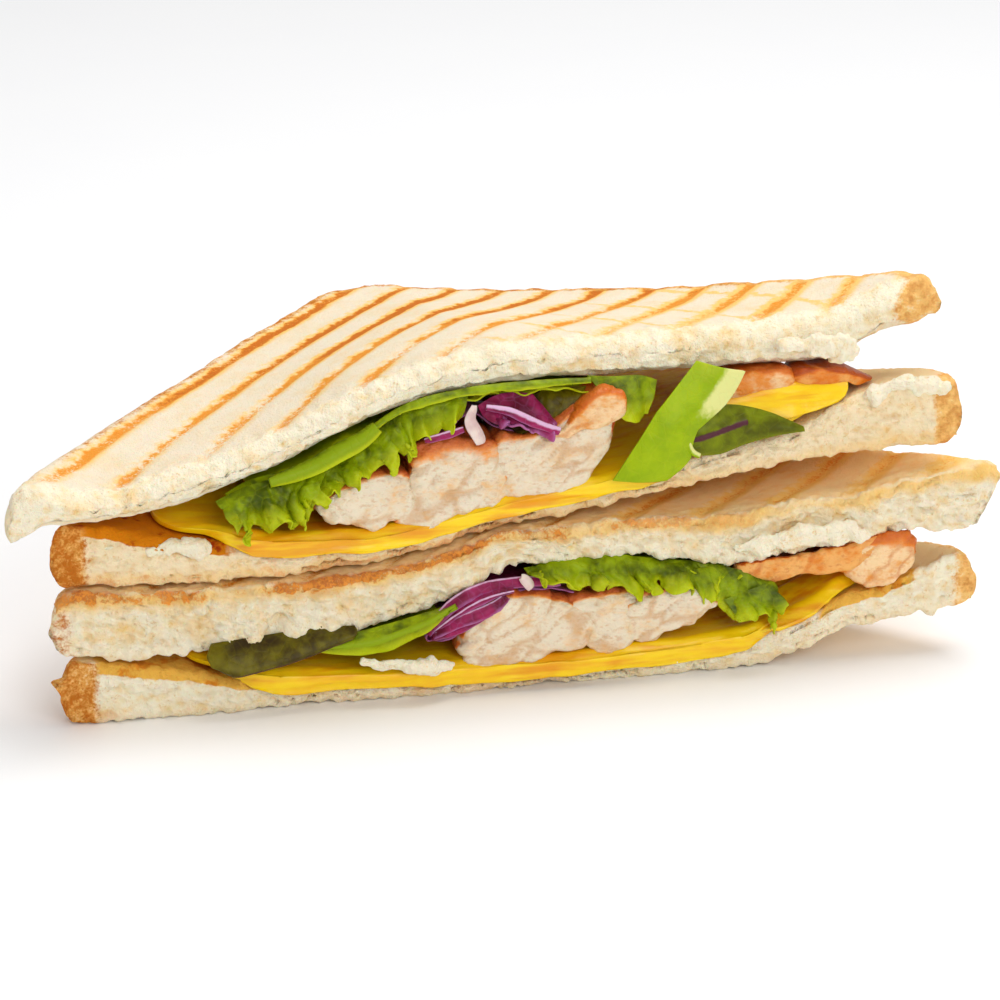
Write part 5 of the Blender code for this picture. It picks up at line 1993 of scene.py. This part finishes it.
        ribbon = (
            (
                (-31.5, -2.2, 11.4), (-26.4, -2.5, 12.3), (-22, -2.5, 13.1), (-16.9, -2.5, 14.1),
                (-12.3, -2.5, 15.1), (-8.2, -2.5, 16.3),
            ),
            (
                (-31.8, -3, 10.8), (-26.8, -4, 11), (-22.6, -4.4, 11.4), (-17.5, -4.4, 12.7),
                (-13.1, -4.4, 14.1), (-8.7, -4.4, 16.5),
            ),
            (
                (-31.4, -2.8, 10), (-26.8, -3.8, 9.2), (-22.7, -4, 9), (-17.8, -4, 10.3), (-13.7, -4, 12),
                (-9.2, -4, 15.7),
            ),
        )
        inner = ((-27, 9.3), (-21, 10.2), (-15.6, 11.8), (-10.8, 14.5))
        return [
            Leaf(
                "leaf_lower_roof", "lettuce_lower_leaf", LETTUCE, 32,
                (
                    Blade(self.roof_leaf(LOWER_ROOM, (7.0, 41.0), hem, 4), 111, 26, 0.5),
                    Blade(smooth_patch(front), 200, 50, 1.1, 2.6, curl=1.6, period=4.6, ragged=0.3),
                    Blade(smooth_patch(tip), 44, 30, 0.5, curl=0.5, period=3.0, ragged=0.2),
                ),
            ),
            Leaf(
                "leaf_lower_frill", "lettuce_lower_frill", LETTUCE, 37,
                (
                    Blade(smooth_patch(frill), 104, 64, 1.3, 2.8, curl=1.8, period=4.4, ragged=0.34),
                    Blade(smooth_patch(lobe), 67, 46, 0.6, curl=0.9, period=3.4, ragged=0.24),
                ),
            ),
            Leaf(
                "leaf_lower_ribbon", "lettuce_lower_ribbon", LETTUCE, 38,
                (
                    Blade(
                        smooth_patch(ribbon), 89, 33, 0.35, ragged=0.08, thickness=0.6, rib=ridge(0.5, 0.12)
                    ),
                    Blade(self.folded(LOWER_ROOM, inner, (-0.6, 12.0), 60), 67, 23, 0.4),
                ),
            ),
        ]

    def lower_other(self) -> list[Leaf]:
        """The dark leaf and the radicchio of the lower filling."""
        rolled = (
            (
                (-49.4, -1.6, 12.4), (-45, -1.6, 12.8), (-38, -1.6, 13.4), (-32, -1.6, 13.8),
                (-25.4, -2.2, 13.6),
            ),
            (
                (-50.6, -4.2, 11.6), (-45.6, -3.6, 11), (-38.4, -3.4, 11.4), (-32, -3.4, 12.4),
                (-25.2, -3.4, 13.1),
            ),
            ((-50, -4.6, 9.8), (-46.4, -5, 8.6), (-41.6, -4.8, 9.2), (-35, -4.6, 10.3), (-25.6, -3.8, 12.6)),
            ((-48.6, -3.6, 9.0), (-45.6, -5, 7.7), (-41, -5, 8.3), (-35, -4.8, 9.5), (-26.2, -3.8, 12.2)),
        )
        first = (
            (-13.1, -3, 11.4), (-11, -3.2, 14.1), (-8.5, -3.2, 16.4), (-5.1, -3, 18), (-0.8, -2.8, 18.8),
            (6.1, -2.6, 18.8), (12.5, -2.4, 18),
        )
        second = (
            (-12.4, -3.4, 11), (-8.6, -3.9, 13), (-4.3, -3.9, 14.4), (-0.9, -3.8, 15.9), (0.6, -3.4, 17.4),
        )
        third = ((-12, -3.2, 12), (-8.6, -3.6, 14.6), (-5.2, -3.6, 16.4), (-1.4, -3.5, 17.6), (2.4, -3.2, 18))
        fourth = ((-12.6, -3.2, 10.6), (-9, -3.8, 11.6), (-5.6, -3.9, 13), (-2.6, -3.8, 14.6))
        fold = (
            (12, 16.7), (4.5, 17.4), (-2.4, 16.9), (-8, 14.2), (-12.2, 11.6), (-12.4, 9.9), (-9.2, 10),
            (-4.6, 12.6), (0.4, 15),
        )
        return [
            Leaf(
                "leaf_lower_rolled", "lettuce_lower_dark", OLIVE, 39,
                (
                    Blade(
                        smooth_patch(rolled), 111, 46, 0.3, 5.0, ragged=0.04, thickness=0.6,
                        rib=ridge(0.93, 0.06),
                    ),
                ),
            ),
            Leaf(
                "radicchio_lower_folds", "radicchio_lower", RADICCHIO, 41,
                (
                    Blade(self.folded(LOWER_ROOM, fold, (-0.4, 18.0), 120), 111, 26, 0.5),
                    Blade(ribbon_patch(first, 2.2), 118, 14, 0.3, thickness=0.7, rib=ridge(0.12, 0.06)),
                    Blade(ribbon_patch(second, 2.0), 81, 14, 0.3, thickness=0.7, rib=ridge(0.1, 0.06)),
                    Blade(ribbon_patch(third, 1.4), 81, 12, 0.3, thickness=0.6, rib=ridge(0.5, 0.08)),
                    Blade(ribbon_patch(fourth, 1.2), 59, 11, 0.2, thickness=0.5),
                ),
            ),
        ]

    def build(self) -> None:
        """Makes every leaf."""
        finishes = (LETTUCE, PALE, DARK, OLIVE, RADICCHIO, WHITE_RIB)
        materials = {finish.name: finish.material() for finish in finishes}
        for leaf in (*self.upper_green(), *self.upper_other(), *self.lower_green(), *self.lower_other()):
            leaf.build(materials[leaf.finish.name])


# Stage


@dataclass(frozen=True)
class Lamp:
    """A soft square light: its side in metres, its power in watts and its place."""

    name: str
    size: float
    power: float
    place: Triple

    def build(self) -> None:
        """Hangs the light, turned towards the sandwich."""
        lamp = bpy.data.lights.new(self.name, "AREA")
        lamp.size, lamp.energy = self.size, self.power
        made = bpy.data.objects.new(self.name, lamp)
        made.location = self.place
        aim = Vector((0.0, 0.0, 0.03)) - Vector(self.place)
        made.rotation_euler = aim.to_track_quat("-Z", "Y").to_euler()
        bpy.context.scene.collection.objects.link(made)


@dataclass(frozen=True)
class Studio:
    """The plain white floor, the soft lights and the camera."""

    backdrop: float = 0.5
    half_floor: float = 3.0
    lamps: tuple[Lamp, ...] = (
        Lamp("overhead", 0.6, 4.6, (0.2, 0.12, 0.8)),
        Lamp("front", 0.45, 2.6, (0.1, -0.8, 0.42)),
    )
    azimuth: float = -14.5
    elevation: float = 19.0
    distance: float = 800.0
    aim_height: float = 32.8
    lens: float = 173.95

    def floor(self) -> None:
        """A wide white floor."""
        half, mesh = self.half_floor, bpy.data.meshes.new("floor")
        corners = [(-half, -half, 0), (half, -half, 0), (half, half, 0), (-half, half, 0)]
        mesh.from_pydata(corners, [], [(0, 1, 2, 3)])
        sheet = Sheet("white table")
        shade = sheet.noise(40.0, 2.0)
        colour = sheet.mix(shade, paint(250, 250, 251), paint(252, 252, 252))
        mesh.materials.append(sheet.finish(colour, sheet.bump(sheet.noise(2.0, 2.0), 0.01), 0.6))
        floor = bpy.data.objects.new("floor", mesh)
        bpy.context.scene.collection.objects.link(floor)

    def camera(self) -> None:
        """The camera at the photograph's viewing angle."""
        turn, rise = math.radians(self.azimuth), math.radians(self.elevation)
        back = np.array([math.sin(turn) * math.cos(rise), -math.cos(turn) * math.cos(rise), math.sin(rise)])
        aim = np.array([0.0, 0.0, self.aim_height]) + ORIGIN
        data = bpy.data.cameras.new("camera")
        data.sensor_width, data.lens = 36.0, self.lens
        data.clip_start, data.clip_end = 0.05, 10.0
        made = bpy.data.objects.new("camera", data)
        made.location = (aim + back * self.distance) * MM
        made.rotation_euler = (math.pi / 2.0 - rise, 0.0, turn)
        bpy.context.scene.collection.objects.link(made)
        bpy.context.scene.camera = made

    def build(self) -> None:
        """Sets the whole stage."""
        scene = bpy.context.scene
        scene.view_settings.view_transform = "Standard"
        world = bpy.data.worlds.new("studio")
        scene.world = world
        world.use_nodes = True
        inputs = world.node_tree.nodes["Background"].inputs
        inputs["Color"].default_value = (1.0, 1.0, 1.0, 1.0)
        inputs["Strength"].default_value = self.backdrop
        self.floor()
        for lamp in self.lamps:
            lamp.build()
        self.camera()
        log.info("stage is set")


def main() -> None:
    """Builds every part of the sandwich and the stage."""
    logging.basicConfig(level=logging.INFO, format="%(message)s")
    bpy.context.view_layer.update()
    Bread().build()
    Cheese().build()
    Chicken().build()
    Greens().build()
    Studio().build()


if __name__ == "__main__":
    main()
